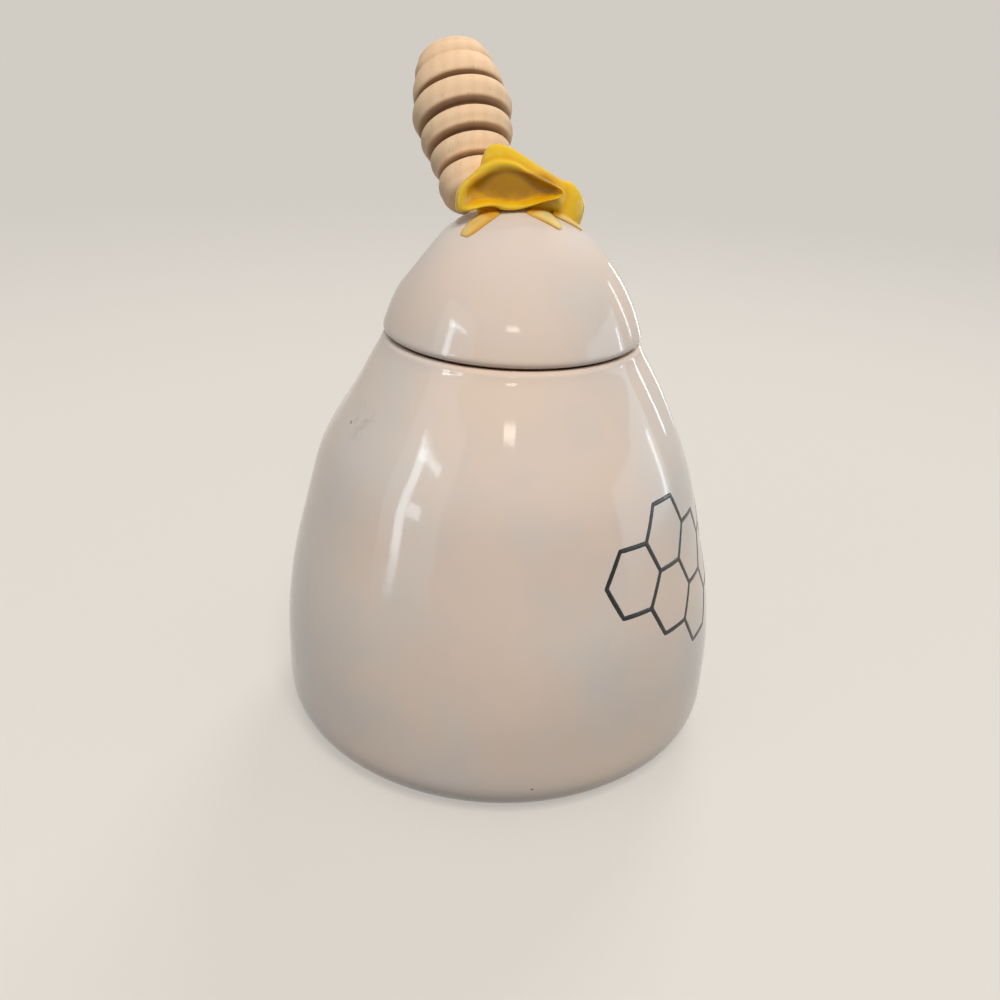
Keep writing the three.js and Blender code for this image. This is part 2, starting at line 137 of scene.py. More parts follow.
def even_curve(points: Sequence[Sequence[float]], count: int) -> list[np.ndarray]:
    """Sample the smooth curve through some points at even distances.

    Args:
        points: The points that the curve goes through.
        count: How many stretches the curve is cut into.

    Returns:
        The spots, one more than the stretches.
    """
    fine = [catmull(points, i / CURVE_STEPS) for i in range(CURVE_STEPS + 1)]
    steps = [0.0]
    for start, end in zip(fine, fine[1:]):
        steps.append(steps[-1] + float(np.linalg.norm(end - start)))
    wanted = [steps[-1] * i / count for i in range(count + 1)]
    return [np.array(spot) for spot in zip(*[np.interp(wanted, steps, row) for row in zip(*fine)])]


def arc(middle: Pair, radius: float, start: float, end: float, steps: int) -> Outline:
    """List the points of part of a circle in an outline.

    Args:
        middle: The circle's middle, as radius and height in the outline.
        radius: The circle's radius.
        start: The first angle, in degrees.
        end: The last angle, in degrees.
        steps: How many stretches the arc is cut into.

    Returns:
        The arc's points.
    """
    angles = [radians(start + (end - start) * i / steps) for i in range(steps + 1)]
    return [(middle[0] + radius * cos(a), middle[1] + radius * sin(a)) for a in angles]


def polar(distance: float, bearing: float, height: float = 0.0) -> Vector:
    """Place a spot by its distance from the Z axis, its bearing in radians and its height."""
    return Vector((distance * cos(bearing), distance * sin(bearing), height))


# Modelling steps that several pieces share, each made of Blender's own operators


def leave() -> None:
    """Leave edit mode."""
    bpy.ops.object.mode_set(mode="OBJECT")


def clear() -> None:
    """Leave edit mode and deselect every object."""
    if bpy.context.object is not None and bpy.context.object.mode != "OBJECT":
        leave()
    bpy.ops.object.select_all(action="DESELECT")


def pick(obj: Obj) -> None:
    """Make one object the only selected and the active one.

    Args:
        obj: The object.
    """
    clear()
    obj.select_set(True)
    bpy.context.view_layer.objects.active = obj


def edit(obj: Obj, action: str = "DESELECT") -> None:
    """Open one object in edit mode.

    Args:
        obj: The object.
        action: What is done to the selection of its corners.
    """
    pick(obj)
    bpy.ops.object.mode_set(mode="EDIT")
    bpy.ops.mesh.select_mode(type="VERT")
    bpy.ops.mesh.select_all(action=action)


def made(name: str) -> Obj:
    """Name the object that an operator has just made.

    Args:
        name: Its name.

    Returns:
        The object.
    """
    obj = bpy.context.object
    obj.name = obj.data.name = name
    return obj


def settle(obj: Obj, place: Matrix | None = None) -> Obj:
    """Put an object in its place and write the place into its mesh.

    Args:
        obj: The object.
        place: Where it goes, or None to keep it where it is.

    Returns:
        The same object, unturned and unscaled at the origin.
    """
    pick(obj)
    if place is not None:
        obj.matrix_world = place @ obj.matrix_world
    bpy.ops.object.transform_apply(location=True, rotation=True, scale=True)
    return obj


def unite(objects: Sequence[Obj], name: str) -> Obj:
    """Join several objects into one, unturned and unscaled at the origin.

    Args:
        objects: The objects.
        name: The joined object's name.

    Returns:
        The joined object.
    """
    clear()
    for obj in objects:
        obj.select_set(True)
    bpy.context.view_layer.objects.active = objects[0]
    bpy.ops.object.join()
    return settle(made(name))


def tidy(obj: Obj) -> None:
    """Merge doubled corners, delete loose edges and turn all faces outwards.

    Args:
        obj: The object.
    """
    edit(obj, "SELECT")
    bpy.ops.mesh.remove_doubles(threshold=DOUBLED)
    bpy.ops.mesh.delete_loose()
    bpy.ops.mesh.select_all(action="SELECT")
    bpy.ops.mesh.normals_make_consistent(inside=False)
    leave()


def lathe(name: str, outline: Outline, steps: int, cage: bool = False) -> Obj:
    """Spin an outline about the Z axis into a closed turned shape.

    Args:
        name: The new object's name.
        outline: Points of radius and height, in metres.
        steps: How many steps the spin has.
        cage: Whether the shape is subdivided later, and so is made wider by what that takes.

    Returns:
        The new object.
    """
    clear()
    widen = 3 / (2 + cos(2 * pi / steps)) if cage else 1.0
    outline = [(radius * widen, height) for radius, height in outline]
    radius, height = outline[0]
    bpy.ops.mesh.primitive_plane_add(size=MM, location=(radius, 0, height))
    obj = made(name)
    edit(obj, "SELECT")
    bpy.ops.mesh.merge(type="CENTER")
    for (r0, z0), (r1, z1) in zip(outline, outline[1:]):
        step = (r1 - r0, 0, z1 - z0)
        bpy.ops.mesh.extrude_region_move(TRANSFORM_OT_translate={"value": step})
    bpy.ops.mesh.select_all(action="SELECT")
    bpy.ops.mesh.spin(steps=steps, angle=2 * pi, center=(0, 0, 0), axis=(0, 0, 1))
    leave()
    settle(obj)
    tidy(obj)
    return obj


def push(obj: Obj, spot: Vector, move: Vector, reach: float) -> None:
    """Press a soft dent into an object, or pull a soft bulge out of it.

    Args:
        obj: The object, whose mesh lies in the frame.
        spot: Where its nearest corner is taken hold of.
        move: How far that corner moves.
        reach: How far from it the surface still follows.
    """
    edit(obj)
    leave()
    away = np.linalg.norm(corners_of(obj) - np.array(spot), axis=1)
    obj.data.vertices[int(away.argmin())].select = True
    bpy.ops.object.mode_set(mode="EDIT")
    bpy.ops.transform.translate(
        value=move,
        use_proportional_edit=True,
        proportional_edit_falloff="SMOOTH",
        proportional_size=reach,
    )
    leave()


def modify(obj: Obj, kind: str, **settings: object) -> None:
    """Add a modifier with its settings and apply it.

    Args:
        obj: The object.
        kind: The modifier's type.
        **settings: Its settings by name.
    """
    pick(obj)
    modifier = obj.modifiers.new(kind.lower(), kind)
    for setting, value in settings.items():
        setattr(modifier, setting, value)
    bpy.ops.object.modifier_apply(modifier=modifier.name)


def subdivide(obj: Obj, levels: int = 2) -> None:
    """Round an object off by some levels of subdivision."""
    modify(obj, "SUBSURF", levels=levels, render_levels=levels)


def fuse(obj: Obj, voxel: float, factor: float, passes: int) -> None:
    """Run an object's parts together in one even mesh, and smooth it."""
    modify(obj, "REMESH", mode="VOXEL", voxel_size=voxel)
    modify(obj, "SMOOTH", factor=factor, iterations=passes)


def smooth(obj: Obj, angle: float) -> None:
    """Shade an object smooth but for its edges sharper than an angle in degrees."""
    pick(obj)
    bpy.ops.object.shade_smooth_by_angle(angle=radians(angle))


def loft(name: str, first: Sequence[Vector], rings: Sequence[tuple[Vector, Vector]]) -> Obj:
    """Extrude a filled loop ring by ring, moving and scaling each new ring.

    Args:
        name: The new object's name.
        first: The corners of the first loop.
        rings: For each next ring how far it moves, and its scale against the first loop about
            the first loop's middle.

    Returns:
        The new object, closed at both ends.
    """
    clear()
    bpy.ops.mesh.primitive_circle_add(vertices=len(first), radius=MM, fill_type="NGON")
    obj = made(name)
    for corner, spot in zip(obj.data.vertices, first):
        corner.co = spot
    middle = sum(first, Vector()) / len(first)
    edit(obj, "SELECT")
    moved, scaled = Vector(), Vector((1, 1, 1))
    for move, scale in rings:
        bpy.ops.mesh.extrude_region_move(TRANSFORM_OT_translate={"value": move - moved})
        step = Vector([new / old for new, old in zip(scale, scaled)])
        bpy.ops.transform.resize(value=step, center_override=middle + move)
        moved, scaled = move, scale
    leave()
    tidy(obj)
    return obj


def write_attribute(obj: Obj, name: str, values: np.ndarray) -> None:
    """Write one number for each corner of a mesh, for its material to read."""
    attribute = obj.data.attributes.new(name, "FLOAT", "POINT")
    attribute.data.foreach_set("value", np.asarray(values, np.float32))


def corners_of(obj: Obj, what: str = "co") -> np.ndarray:
    """List what the corners of a mesh hold as rows of three numbers.

    Args:
        obj: The object.
        what: Their spots as co, or their directions as normal.

    Returns:
        The rows.
    """
    flat = np.empty(len(obj.data.vertices) * 3)
    obj.data.vertices.foreach_get(what, flat)
    return flat.reshape(-1, 3)


def dress(obj: Obj, body: Body, material: Material, slot: Slot, *nodes: str) -> None:
    """Give a finished piece its material and its body, and hide the CAD nodes that it stands for.

    Args:
        obj: The piece.
        body: The body that it moves with.
        material: Its material.
        slot: The record's material slot; not used.
        *nodes: The CAD nodes that it replaces.
    """
    obj.data.materials.clear()
    obj.data.materials.append(material)
    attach(obj, body.value)
    if nodes:
        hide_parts(*nodes)
    LOG.info("%s: %d faces, on %s", obj.name, len(obj.data.polygons), body.value)


# Materials


class NodeSheet:
    """The nodes of one material or world, added and joined by short calls."""

    def __init__(self, name: str, world: bool = False) -> None:
        """Start a material with a Principled surface, or a world with a Background.

        Args:
            name: Its name.
            world: Whether it is a world.
        """
        self.owner = bpy.data.worlds.new(name) if world else bpy.data.materials.new(name)
        self.owner.use_nodes = True
        self.tree = self.owner.node_tree
        self.surface = self.tree.nodes["Background" if world else "Principled BSDF"]

    def add(self, kind: str, inputs: dict | None = None, **settings: object) -> bpy.types.Node:
        """Add a node.

        Args:
            kind: The node's type, without its ShaderNode prefix.
            inputs: Values or sockets for its inputs, by name or number.
            **settings: Its settings by name.

        Returns:
            The new node.
        """
        node = self.tree.nodes.new("ShaderNode" + kind)
        for setting, value in settings.items():
            setattr(node, setting, value)
        self.join(node, inputs or {})
        return node

    def join(self, node: bpy.types.Node, inputs: dict) -> None:
        """Set a node's inputs.

        Args:
            node: The node.
            inputs: For each input a socket, which is linked, or else its value.
        """
        for key, value in inputs.items():
            if isinstance(value, Socket):
                self.tree.links.new(value, node.inputs[key])
            else:
                node.inputs[key].default_value = value

    def place(self, turn: Sequence[float] = (0, 0, 0), scale: Triple = (1, 1, 1)) -> Socket:
        """Read Object coordinates, turned and stretched by a Mapping node."""
        inputs = {"Vector": self.add("TexCoord").outputs["Object"], "Rotation": turn,
                  "Scale": scale}
        return self.add("Mapping", inputs).outputs["Vector"]

    def read(self, name: str) -> Socket:
        """Read one of the mesh's own attributes."""
        return self.add("Attribute", attribute_name=name).outputs["Fac"]

    def noise(self, where: Socket, scale: float, detail: float, rough: float = 0.5) -> Socket:
        """Add soft noise with a scale in features a metre."""
        inputs = {"Vector": where, "Scale": scale, "Detail": detail, "Roughness": rough}
        return self.add("TexNoise", inputs).outputs["Fac"]

    def spread(self, value: Socket, low: float, high: float, to: Pair = (0.0, 1.0)) -> Socket:
        """Stretch a value from one range to another, softly and without running over."""
        inputs = {"Value": value, 1: low, 2: high, 3: to[0], 4: to[1]}
        return self.add("MapRange", inputs, interpolation_type="SMOOTHSTEP").outputs["Result"]

    def patches(self, where: Socket, noise: Noise, to: Pair = (0.0, 1.0)) -> Socket:
        """Add soft noise, stretched to a range."""
        return self.spread(self.noise(where, *noise[:2]), *noise[2:], to)

    def near(self, where: Socket, spot: Sequence[float], core: float, reach: float) -> Socket:
        """Mark what lies round a spot: 1 up to the core and 0 beyond the reach."""
        away = self.add("VectorMath", {0: where, 1: tuple(spot)}, operation="DISTANCE")
        return self.spread(away.outputs["Value"], core, reach, (1.0, 0.0))

    def seen(self) -> Socket:
        """Tell the rays that show the background from those that only carry light.

        Returns:
            1 for the rays that show it.
        """
        path = self.add("LightPath").outputs
        shown = self.sums("MAXIMUM", path["Is Camera Ray"], path["Is Glossy Ray"])
        return self.sums("MAXIMUM", shown, path["Is Transmission Ray"])

    def sums(self, operation: str, first: object, second: object) -> Socket:
        """Work out one sum of two values."""
        return self.add("Math", {0: first, 1: second}, operation=operation).outputs[0]

    def times(self, first: object, second: object) -> Socket:
        """Multiply two values."""
        return self.sums("MULTIPLY", first, second)

    def mix(self, share: Socket, first: object, second: object) -> Socket:
        """Blend two colours by a share."""
        inputs = {"Factor": share, 6: first, 7: second}
        return self.add("Mix", inputs, data_type="RGBA").outputs[2]

    def bump(self, height: Socket, depth: float, **below: Socket) -> Socket:
        """Turn a height into bumps of a real depth, on top of a Normal if one is given."""
        inputs = {"Height": height, "Distance": depth, "Strength": 1.0, **below}
        return self.add("Bump", inputs).outputs["Normal"]

    def ripple(self, where: Socket, bumps: Bumps, **below: Socket) -> Socket:
        """Add bumps of soft noise, on top of a Normal if one is given."""
        return self.bump(self.noise(where, *bumps[:2]), bumps[2], **below)

    def finish(self, base: Socket, rough: object, normal: Socket,
               ior: float = GLAZE_IOR) -> Material:
        """Join the finished surface, and hand over its material."""
        self.join(self.surface, {"Base Color": base, "Roughness": rough, "IOR": ior,
                                 "Normal": normal})
        return self.owner


@dataclass(frozen=True)
class WhiteGlaze:
    """Glossy white glaze over pale clay, cloudy and a little uneven, bare under the foot."""

    warm: Colour = colour(237, 214, 197)
    cool: Colour = colour(225, 213, 204)
    pit: Colour = colour(92, 84, 76)
    smudge: Colour = colour(172, 162, 152)
    clay: Colour = colour(214, 196, 170)
    clouds: Noise = (24, 3, 0.36, 0.66)
    rubbed: Noise = (330, 4, 0.42, 0.66)
    uneven: Noise = (45, 2, 0.3, 0.7)
    gloss: Pair = (0.06, 0.11)
    waves: Bumps = (70, 1.5, 0.12 * MM)
    peel: Bumps = (620, 2, 0.005 * MM)
    bare: Pair = (0.42 * MM, 0.98 * MM)
    bare_roughness: float = 0.85
    smudge_share: float = 0.32
    smudge_reach: Pair = (1.0 * MM, 7.5 * MM)
    smudge_offset: Triple = (-4, -2, 2)
    pit_share: float = 0.8
    pit_depth: float = 0.15 * MM
    first_pit: Pair = (0.2 * MM, 0.6 * MM)
    other_pit: Pair = (0.15 * MM, 0.5 * MM)

    def build(self, name: str, pits: Sequence[Vector]) -> Material:
        """Make the material.

        Args:
            name: The material's name.
            pits: Where the glaze has small pits; a faint smudge lies beside the first.

        Returns:
            The material.
        """
        sheet = NodeSheet(name)
        where = sheet.place()
        base = sheet.mix(sheet.patches(where, self.clouds), self.warm, self.cool)
        rubbed = sheet.patches(where, self.rubbed)
        beside = pits[0] + Vector(self.smudge_offset) * MM
        smudge = sheet.times(sheet.near(where, beside, *self.smudge_reach), rubbed)
        base = sheet.mix(sheet.times(smudge, self.smudge_share), base, self.smudge)
        sunk = sheet.near(where, pits[0], *self.first_pit)
        for pit in pits[1:]:
            sunk = sheet.sums("MAXIMUM", sunk, sheet.near(where, pit, *self.other_pit))
        base = sheet.mix(sheet.times(sunk, self.pit_share), base, self.pit)
        height = sheet.add("SeparateXYZ", {"Vector": where}).outputs["Z"]
        bare = sheet.spread(height, *self.bare, (1.0, 0.0))
        base = sheet.mix(bare, base, self.clay)
        rough = sheet.patches(where, self.uneven, self.gloss)
        rough = sheet.sums("MAXIMUM", rough, sheet.times(bare, self.bare_roughness))
        normal = sheet.ripple(where, self.peel, Normal=sheet.ripple(where, self.waves))
        hollows = sheet.bump(sheet.times(sunk, -1.0), self.pit_depth, Normal=normal)
        return sheet.finish(base, rough, hollows)


@dataclass(frozen=True)
class YellowGlaze:
    """Glossy honey glaze, amber where it pools and where shade is painted into the wings' dishes,
    and bright yellow where it runs thin.
    """

    thin: Colour = colour(246, 200, 40)
    full: Colour = colour(236, 174, 10)
    # Amber for pooled glaze, and for painted shade in the wings' dishes
    pooled: Colour = colour(192, 136, 3)
    full_from: Pair = (0.1, 0.5)
    pooled_from: Pair = (0.5, 0.95)
    stir: Noise = (260, 3, 0.3, 0.7)
    stir_share: float = 0.08
    uneven: Noise = (300, 2, 0.3, 0.7)
    gloss: Pair = (0.03, 0.07)
    waves: Bumps = (330, 2, 0.05 * MM)
    specular: float = 0.4

    def build(self, name: str) -> Material:
        """Make the material.

        Args:
            name: The material's name.

        Returns:
            The material.
        """
        sheet = NodeSheet(name)
        where = sheet.place()
        stir = sheet.times(sheet.patches(where, self.stir, (-1.0, 1.0)), self.stir_share)
        # The pool attribute holds the glaze's pooling and, in the wings' dishes, painted shade
        depth = sheet.sums("ADD", sheet.read("pool"), stir)
        base = sheet.mix(sheet.spread(depth, *self.full_from), self.thin, self.full)
        base = sheet.mix(sheet.spread(depth, *self.pooled_from), base, self.pooled)
        rough = sheet.patches(where, self.uneven, self.gloss)
        sheet.join(sheet.surface, {"Specular IOR Level": self.specular})
        return sheet.finish(base, rough, sheet.ripple(where, self.waves))


@dataclass(frozen=True)
class ThinGlaze:
    """Brushed strokes of honey glaze, pale over the white and darker along their edges."""

    pale: Colour = colour(238, 213, 138)
    edge: Colour = colour(224, 165, 48)
    edge_from: Pair = (0.25, 1.0)
    stir: Pair = (420, 3)
    stir_share: float = 0.3
    gloss: float = 0.08
    waves: Bumps = (500, 2, 0.02 * MM)

    def build(self, name: str) -> Material:
        """Make the material.

        Args:
            name: The material's name.

        Returns:
            The material.
        """
        sheet = NodeSheet(name)
        where = sheet.place()
        stir = sheet.times(sheet.noise(where, *self.stir), self.stir_share)
        depth = sheet.sums("ADD", sheet.read("pool"), stir)
        base = sheet.mix(sheet.spread(depth, *self.edge_from), self.pale, self.edge)
        return sheet.finish(base, self.gloss, sheet.ripple(where, self.waves))


@dataclass(frozen=True)
class Beech:
    """Turned pale beech with faint rings, short flecks and fine turning marks."""

    light: Colour = colour(250, 214, 175)
    ring: Colour = colour(241, 200, 159)
    fleck: Colour = colour(206, 160, 120)
    # Painted shade for the wood deep in the head's grooves
    groove: Colour = colour(122, 80, 50)
    ring_share: float = 0.4
    fibre_share: float = 0.14
    fleck_share: float = 0.36
    groove_share: float = 0.85
    bend: Pair = (42, 2)
    bend_share: float = 0.5
    ring_range: Pair = (0.35, 1.25)
    fibres: Triple = (2400, 3, 0.6)
    fibre_range: Pair = (0.45, 0.75)
    flecks: float = 800.0
    fleck_size: Pair = (0.08, 0.24)
    fleck_range: Pair = (0.4, 0.65)
    turning: Bumps = (1700, 2, 0.015 * MM)
    pore_depth: float = 0.02 * MM
    roughness: Pair = (0.52, 0.68)
    ior: float = 1.45

    # The rings' own noise
    waves = {"Scale": 95.0, "Distortion": 3.0, "Detail": 2.0, "Detail Scale": 0.6}

    # How the grain, the flecks and the turning marks are stretched against the dipper's length
    grain_scale: Triple = (1.0, 1.0, 0.09)
    fleck_scale: Triple = (1.0, 1.0, 0.3)
    turning_scale: Triple = (0.02, 0.02, 1.0)

    def build(self, name: str, turn: Sequence[float]) -> Material:
        """Make the material with its grain along the dipper.

        Args:
            name: The material's name.
            turn: The turn that lays the dipper's own axis along Z.

        Returns:
            The material.
        """
        sheet = NodeSheet(name)
        grain = sheet.place(turn, self.grain_scale)
        bend = sheet.times(sheet.noise(sheet.place(turn), *self.bend), self.bend_share)
        waves = sheet.add("TexWave", {"Vector": grain, **self.waves}, bands_direction="X")
        waves = waves.outputs["Fac"]
        rings = sheet.spread(sheet.sums("ADD", waves, bend), *self.ring_range)
        base = sheet.mix(sheet.times(rings, self.ring_share), self.light, self.ring)
        fibres = sheet.spread(sheet.noise(grain, *self.fibres), *self.fibre_range)
        base = sheet.mix(sheet.times(fibres, self.fibre_share), base, self.fleck)
        dashes = sheet.place(turn, self.fleck_scale)
        cells = sheet.add("TexVoronoi", {"Vector": dashes, "Scale": self.flecks}).outputs
        flecks = sheet.times(sheet.spread(cells["Distance"], *self.fleck_size, (1.0, 0.0)),
                             sheet.spread(cells["Color"], *self.fleck_range))
        base = sheet.mix(sheet.times(flecks, self.fleck_share), base, self.fleck)
        # Painted shade: the wood is darkened deep in the head's grooves, where shade falls
        base = sheet.mix(sheet.times(sheet.read("groove"), self.groove_share), base, self.groove)
        marks = sheet.ripple(sheet.place(turn, self.turning_scale), self.turning)
        pores = sheet.bump(sheet.sums("SUBTRACT", 1.0, flecks), self.pore_depth, Normal=marks)
        return sheet.finish(base, sheet.spread(fibres, 0.0, 1.0, self.roughness), pores, self.ior)


@dataclass(frozen=True)
class BlackGlaze:
    """Black underglaze in the lines, under a clear gloss."""

    black: Colour = colour(24, 23, 24)
    grey: Colour = colour(46, 44, 44)
    clouds: Noise = (380, 3, 0.45, 0.75)
    uneven: Noise = (240, 2, 0.3, 0.7)
    gloss: Pair = (0.12, 0.24)
    waves: Bumps = (700, 2, 0.03 * MM)

    def build(self, name: str) -> Material:
        """Make the material.

        Args:
            name: The material's name.

        Returns:
            The material.
        """
        sheet = NodeSheet(name)
        where = sheet.place()
        base = sheet.mix(sheet.patches(where, self.clouds), self.black, self.grey)
        rough = sheet.patches(where, self.uneven, self.gloss)
        return sheet.finish(base, rough, sheet.ripple(where, self.waves))


# Pot


@dataclass
class Pot:
    """The hand-formed pot: a wide belly that narrows to a thin round lip."""

    height: float = 111.3 * MM
    radius: float = 61.5 * MM
    wall: float = 4.2 * MM
    floor: float = 6.5 * MM
    foot_rounding: float = 12 * MM
    foot_ring: float = 6.2 * MM
    foot_recess: float = 0.8 * MM
    floor_rounding: float = 9 * MM
    lip_radius: float = 34.3 * MM
    lip_rounding: float = 2.0 * MM
    steps: int = 48
    side_steps: int = 18
    shading_angle: float = 40

    # Share of the rise from the foot rounding to the lip, and of the width from lip to belly
    wall_shares = ((0, 1), (0.08, 1), (0.2, 0.988), (0.36, 0.915), (0.54, 0.763), (0.72, 0.585),
                   (0.87, 0.289), (1, 0))

    # Thumb marks: bearing in degrees, share of the height, depth and spread in millimetres
    marks = ((-106, 0.55, -1.4, 28), (-106, 0.77, -1.2, 11), (-104, 0.16, -1.2, 11),
             (74, 0.83, -1.2, 11), (150, 0.36, -0.7, 17), (196, 0.2, -0.7, 17),
             (20, 0.5, -0.7, 17), (-40, 0.68, -0.7, 17), (-15, 0.16, -1.2, 11))

    # Fainter unevenness: how many random marks, and the limits of the same four numbers
    faint_marks = 34
    faint_limits = ((0, 360), (0.08, 0.86), (-0.28, 0.12), (9, 18))

    # Pits in the glaze, in millimetres
    pits = ((-9.7, 44.1, 92.3), (-61.1, 6.4, 10.8), (37.0, -36.0, 74.0), (12.0, 58.0, 33.0))

    def side(self, inset: float, bottom: float) -> Outline:
        """List the points of the wall's curve, from the foot rounding up to the lip.

        Args:
            inset: How far inside the outer wall the curve runs.
            bottom: The height that the curve starts from.

        Returns:
            The curve's points.
        """
        low, top = self.foot_rounding, self.height - self.lip_rounding
        reach = self.radius - self.lip_radius
        knots = [(self.lip_radius + reach * wide - inset, low + (top - low) * rise)
                 for rise, wide in self.wall_shares]
        return [(r, z) for r, z in even_curve(knots, self.side_steps) if z >= bottom]

    def radius_at(self, height: float) -> float:
        """Find the outer wall's radius at a height."""
        curve = self.side(0, self.foot_rounding)
        return float(np.interp(height, [z for _, z in curve], [r for r, _ in curve]))

    def outline(self) -> Outline:
        """List the section of the pot.

        Returns:
            Its points, from the middle of the foot round to the middle of the floor.
        """
        mouth = self.lip_radius - self.wall
        lip = self.height - self.lip_rounding
        floor_top = self.floor + self.floor_rounding
        inner = self.radius - self.wall - self.floor_rounding
        flat, recess = self.radius - self.foot_rounding, self.foot_recess
        ring = flat - self.foot_ring
        return [
            (0, recess), (ring - recess, recess), *arc((ring, recess), recess, 180, 270, 2),
            *arc((flat, self.foot_rounding), self.foot_rounding, -90, 0, 6),
            *self.side(0, self.foot_rounding)[1:-1],
            *arc((self.lip_radius - self.lip_rounding, lip), self.lip_rounding, 0, 90, 3),
            *arc((mouth + self.lip_rounding, lip), self.lip_rounding, 90, 180, 3)[1:],
            *self.side(self.wall, floor_top)[:-1][::-1],
            *arc((inner, floor_top), self.floor_rounding, 0, -90, 4),
            (0, self.floor),
        ]

    def press(self, obj: Obj) -> None:
        """Press the thumb marks and some fainter unevenness into the wall.

        Args:
            obj: The pot.
        """
        soft = random.Random(11)
        faint = [[soft.uniform(*limits) for limits in self.faint_limits]
                 for _ in range(self.faint_marks)]
        for bearing, share, depth, spread in [*self.marks, *faint]:
            height, away = share * self.height, polar(1, radians(bearing))
            spot = away * self.radius_at(height) + Vector((0, 0, height))
            push(obj, spot, away * depth * MM, MARK_REACH * spread * MM)

    def build(self, motif: "Honeycomb") -> Material:
        """Model the pot, lay the motif's lines on it and dress both.

        Args:
            motif: The lines on the front.

        Returns:
            The white glaze, for the lid.
        """
        obj = lathe("pot_glazed", self.outline(), self.steps, cage=True)
        self.press(obj)
        subdivide(obj)
        pits = [obj.closest_point_on_mesh(Vector(pit) * MM)[1] for pit in self.pits]
        glaze = WhiteGlaze().build("white glaze", pits)
        motif.build(obj, self)
        smooth(obj, self.shading_angle)
        dress(obj, Body.POT, glaze, Slot.WHITE, "pot_body")
        return glaze


@dataclass
class Honeycomb:
    """A patch of honeycomb, drawn in black lines of glaze round the front of the pot."""

    cell: float = 9.6 * MM
    line: float = 1.4 * MM
    relief: float = 0.17
    middle: float = 55 * MM
    bearing: float = -90.0
    wrap_share: float = 0.97
    joined_within: float = 0.05 * MM
    cuts: int = 5
    voxel: float = 0.27 * MM
    shading_angle: float = 60

    # Cells as column and half-row counts from the middle
    cells = ((-5, 1), (-4, 0), (-4, 2), (-3, -1), (-3, 1), (-2, 0), (-1, -1), (-1, 1), (0, 2),
             (1, 1), (1, -1), (2, 0), (3, 1), (3, -1), (4, 0), (4, 2), (5, -1), (0, -2))

    def network(self, name: str) -> Obj:
        """Draw the edges of the cells as one flat net that stands in the XZ plane.

        Args:
            name: The new object's name.

        Returns:
            The net.
        """
        clear()
        made_cells = []
        for column, row in self.cells:
            place = (column * self.cell * 1.5, 0, row * self.cell * sqrt(0.75))
            bpy.ops.mesh.primitive_circle_add(vertices=6, radius=self.cell, fill_type="NOTHING",
                                              location=place, rotation=(pi / 2, 0, 0))
            made_cells.append(bpy.context.object)
            bpy.ops.transform.rotate(value=pi / 6, orient_axis="Y", center_override=place)
        obj = unite(made_cells, name)
        edit(obj, "SELECT")
        bpy.ops.mesh.remove_doubles(threshold=self.joined_within)
        bpy.ops.mesh.subdivide(number_cuts=self.cuts)
        leave()
        return obj

    def build(self, pot: Obj, shape: Pot) -> None:
        """Lay the net on the pot and draw its lines out into low rounded strokes.

        Args:
            pot: The pot.
            shape: The pot's sizes.
        """
        ink = self.network("front_honeycomb")
        for corner in ink.data.vertices:
            height = self.middle + corner.co.z
            turn = radians(self.bearing) + corner.co.x / (shape.radius * self.wrap_share)
            corner.co = polar(shape.radius_at(height), turn, height)
        lay = {"target": pot, "wrap_method": "NEAREST_SURFACEPOINT", "wrap_mode": "ON_SURFACE"}
        modify(ink, "SHRINKWRAP", **lay, offset=0)
        pick(ink)
        bpy.ops.object.convert(target="CURVE")
        curve = bpy.context.object.data
        curve.bevel_depth, curve.bevel_resolution, curve.use_fill_caps = self.line / 2, 2, True
        bpy.ops.object.convert(target="MESH")
        ink = bpy.context.object
        fuse(ink, self.voxel, 0.5, 4)
        round_lines = corners_of(ink)
        modify(ink, "SHRINKWRAP", **lay, offset=0)
        laid = corners_of(ink)
        raised = laid + (round_lines - laid) * self.relief
        ink.data.vertices.foreach_set("co", raised.ravel())
        ink.data.update()
        smooth(ink, self.shading_angle)
        dress(ink, Body.POT, BlackGlaze().build("black underglaze"), Slot.WHITE)


# Lid


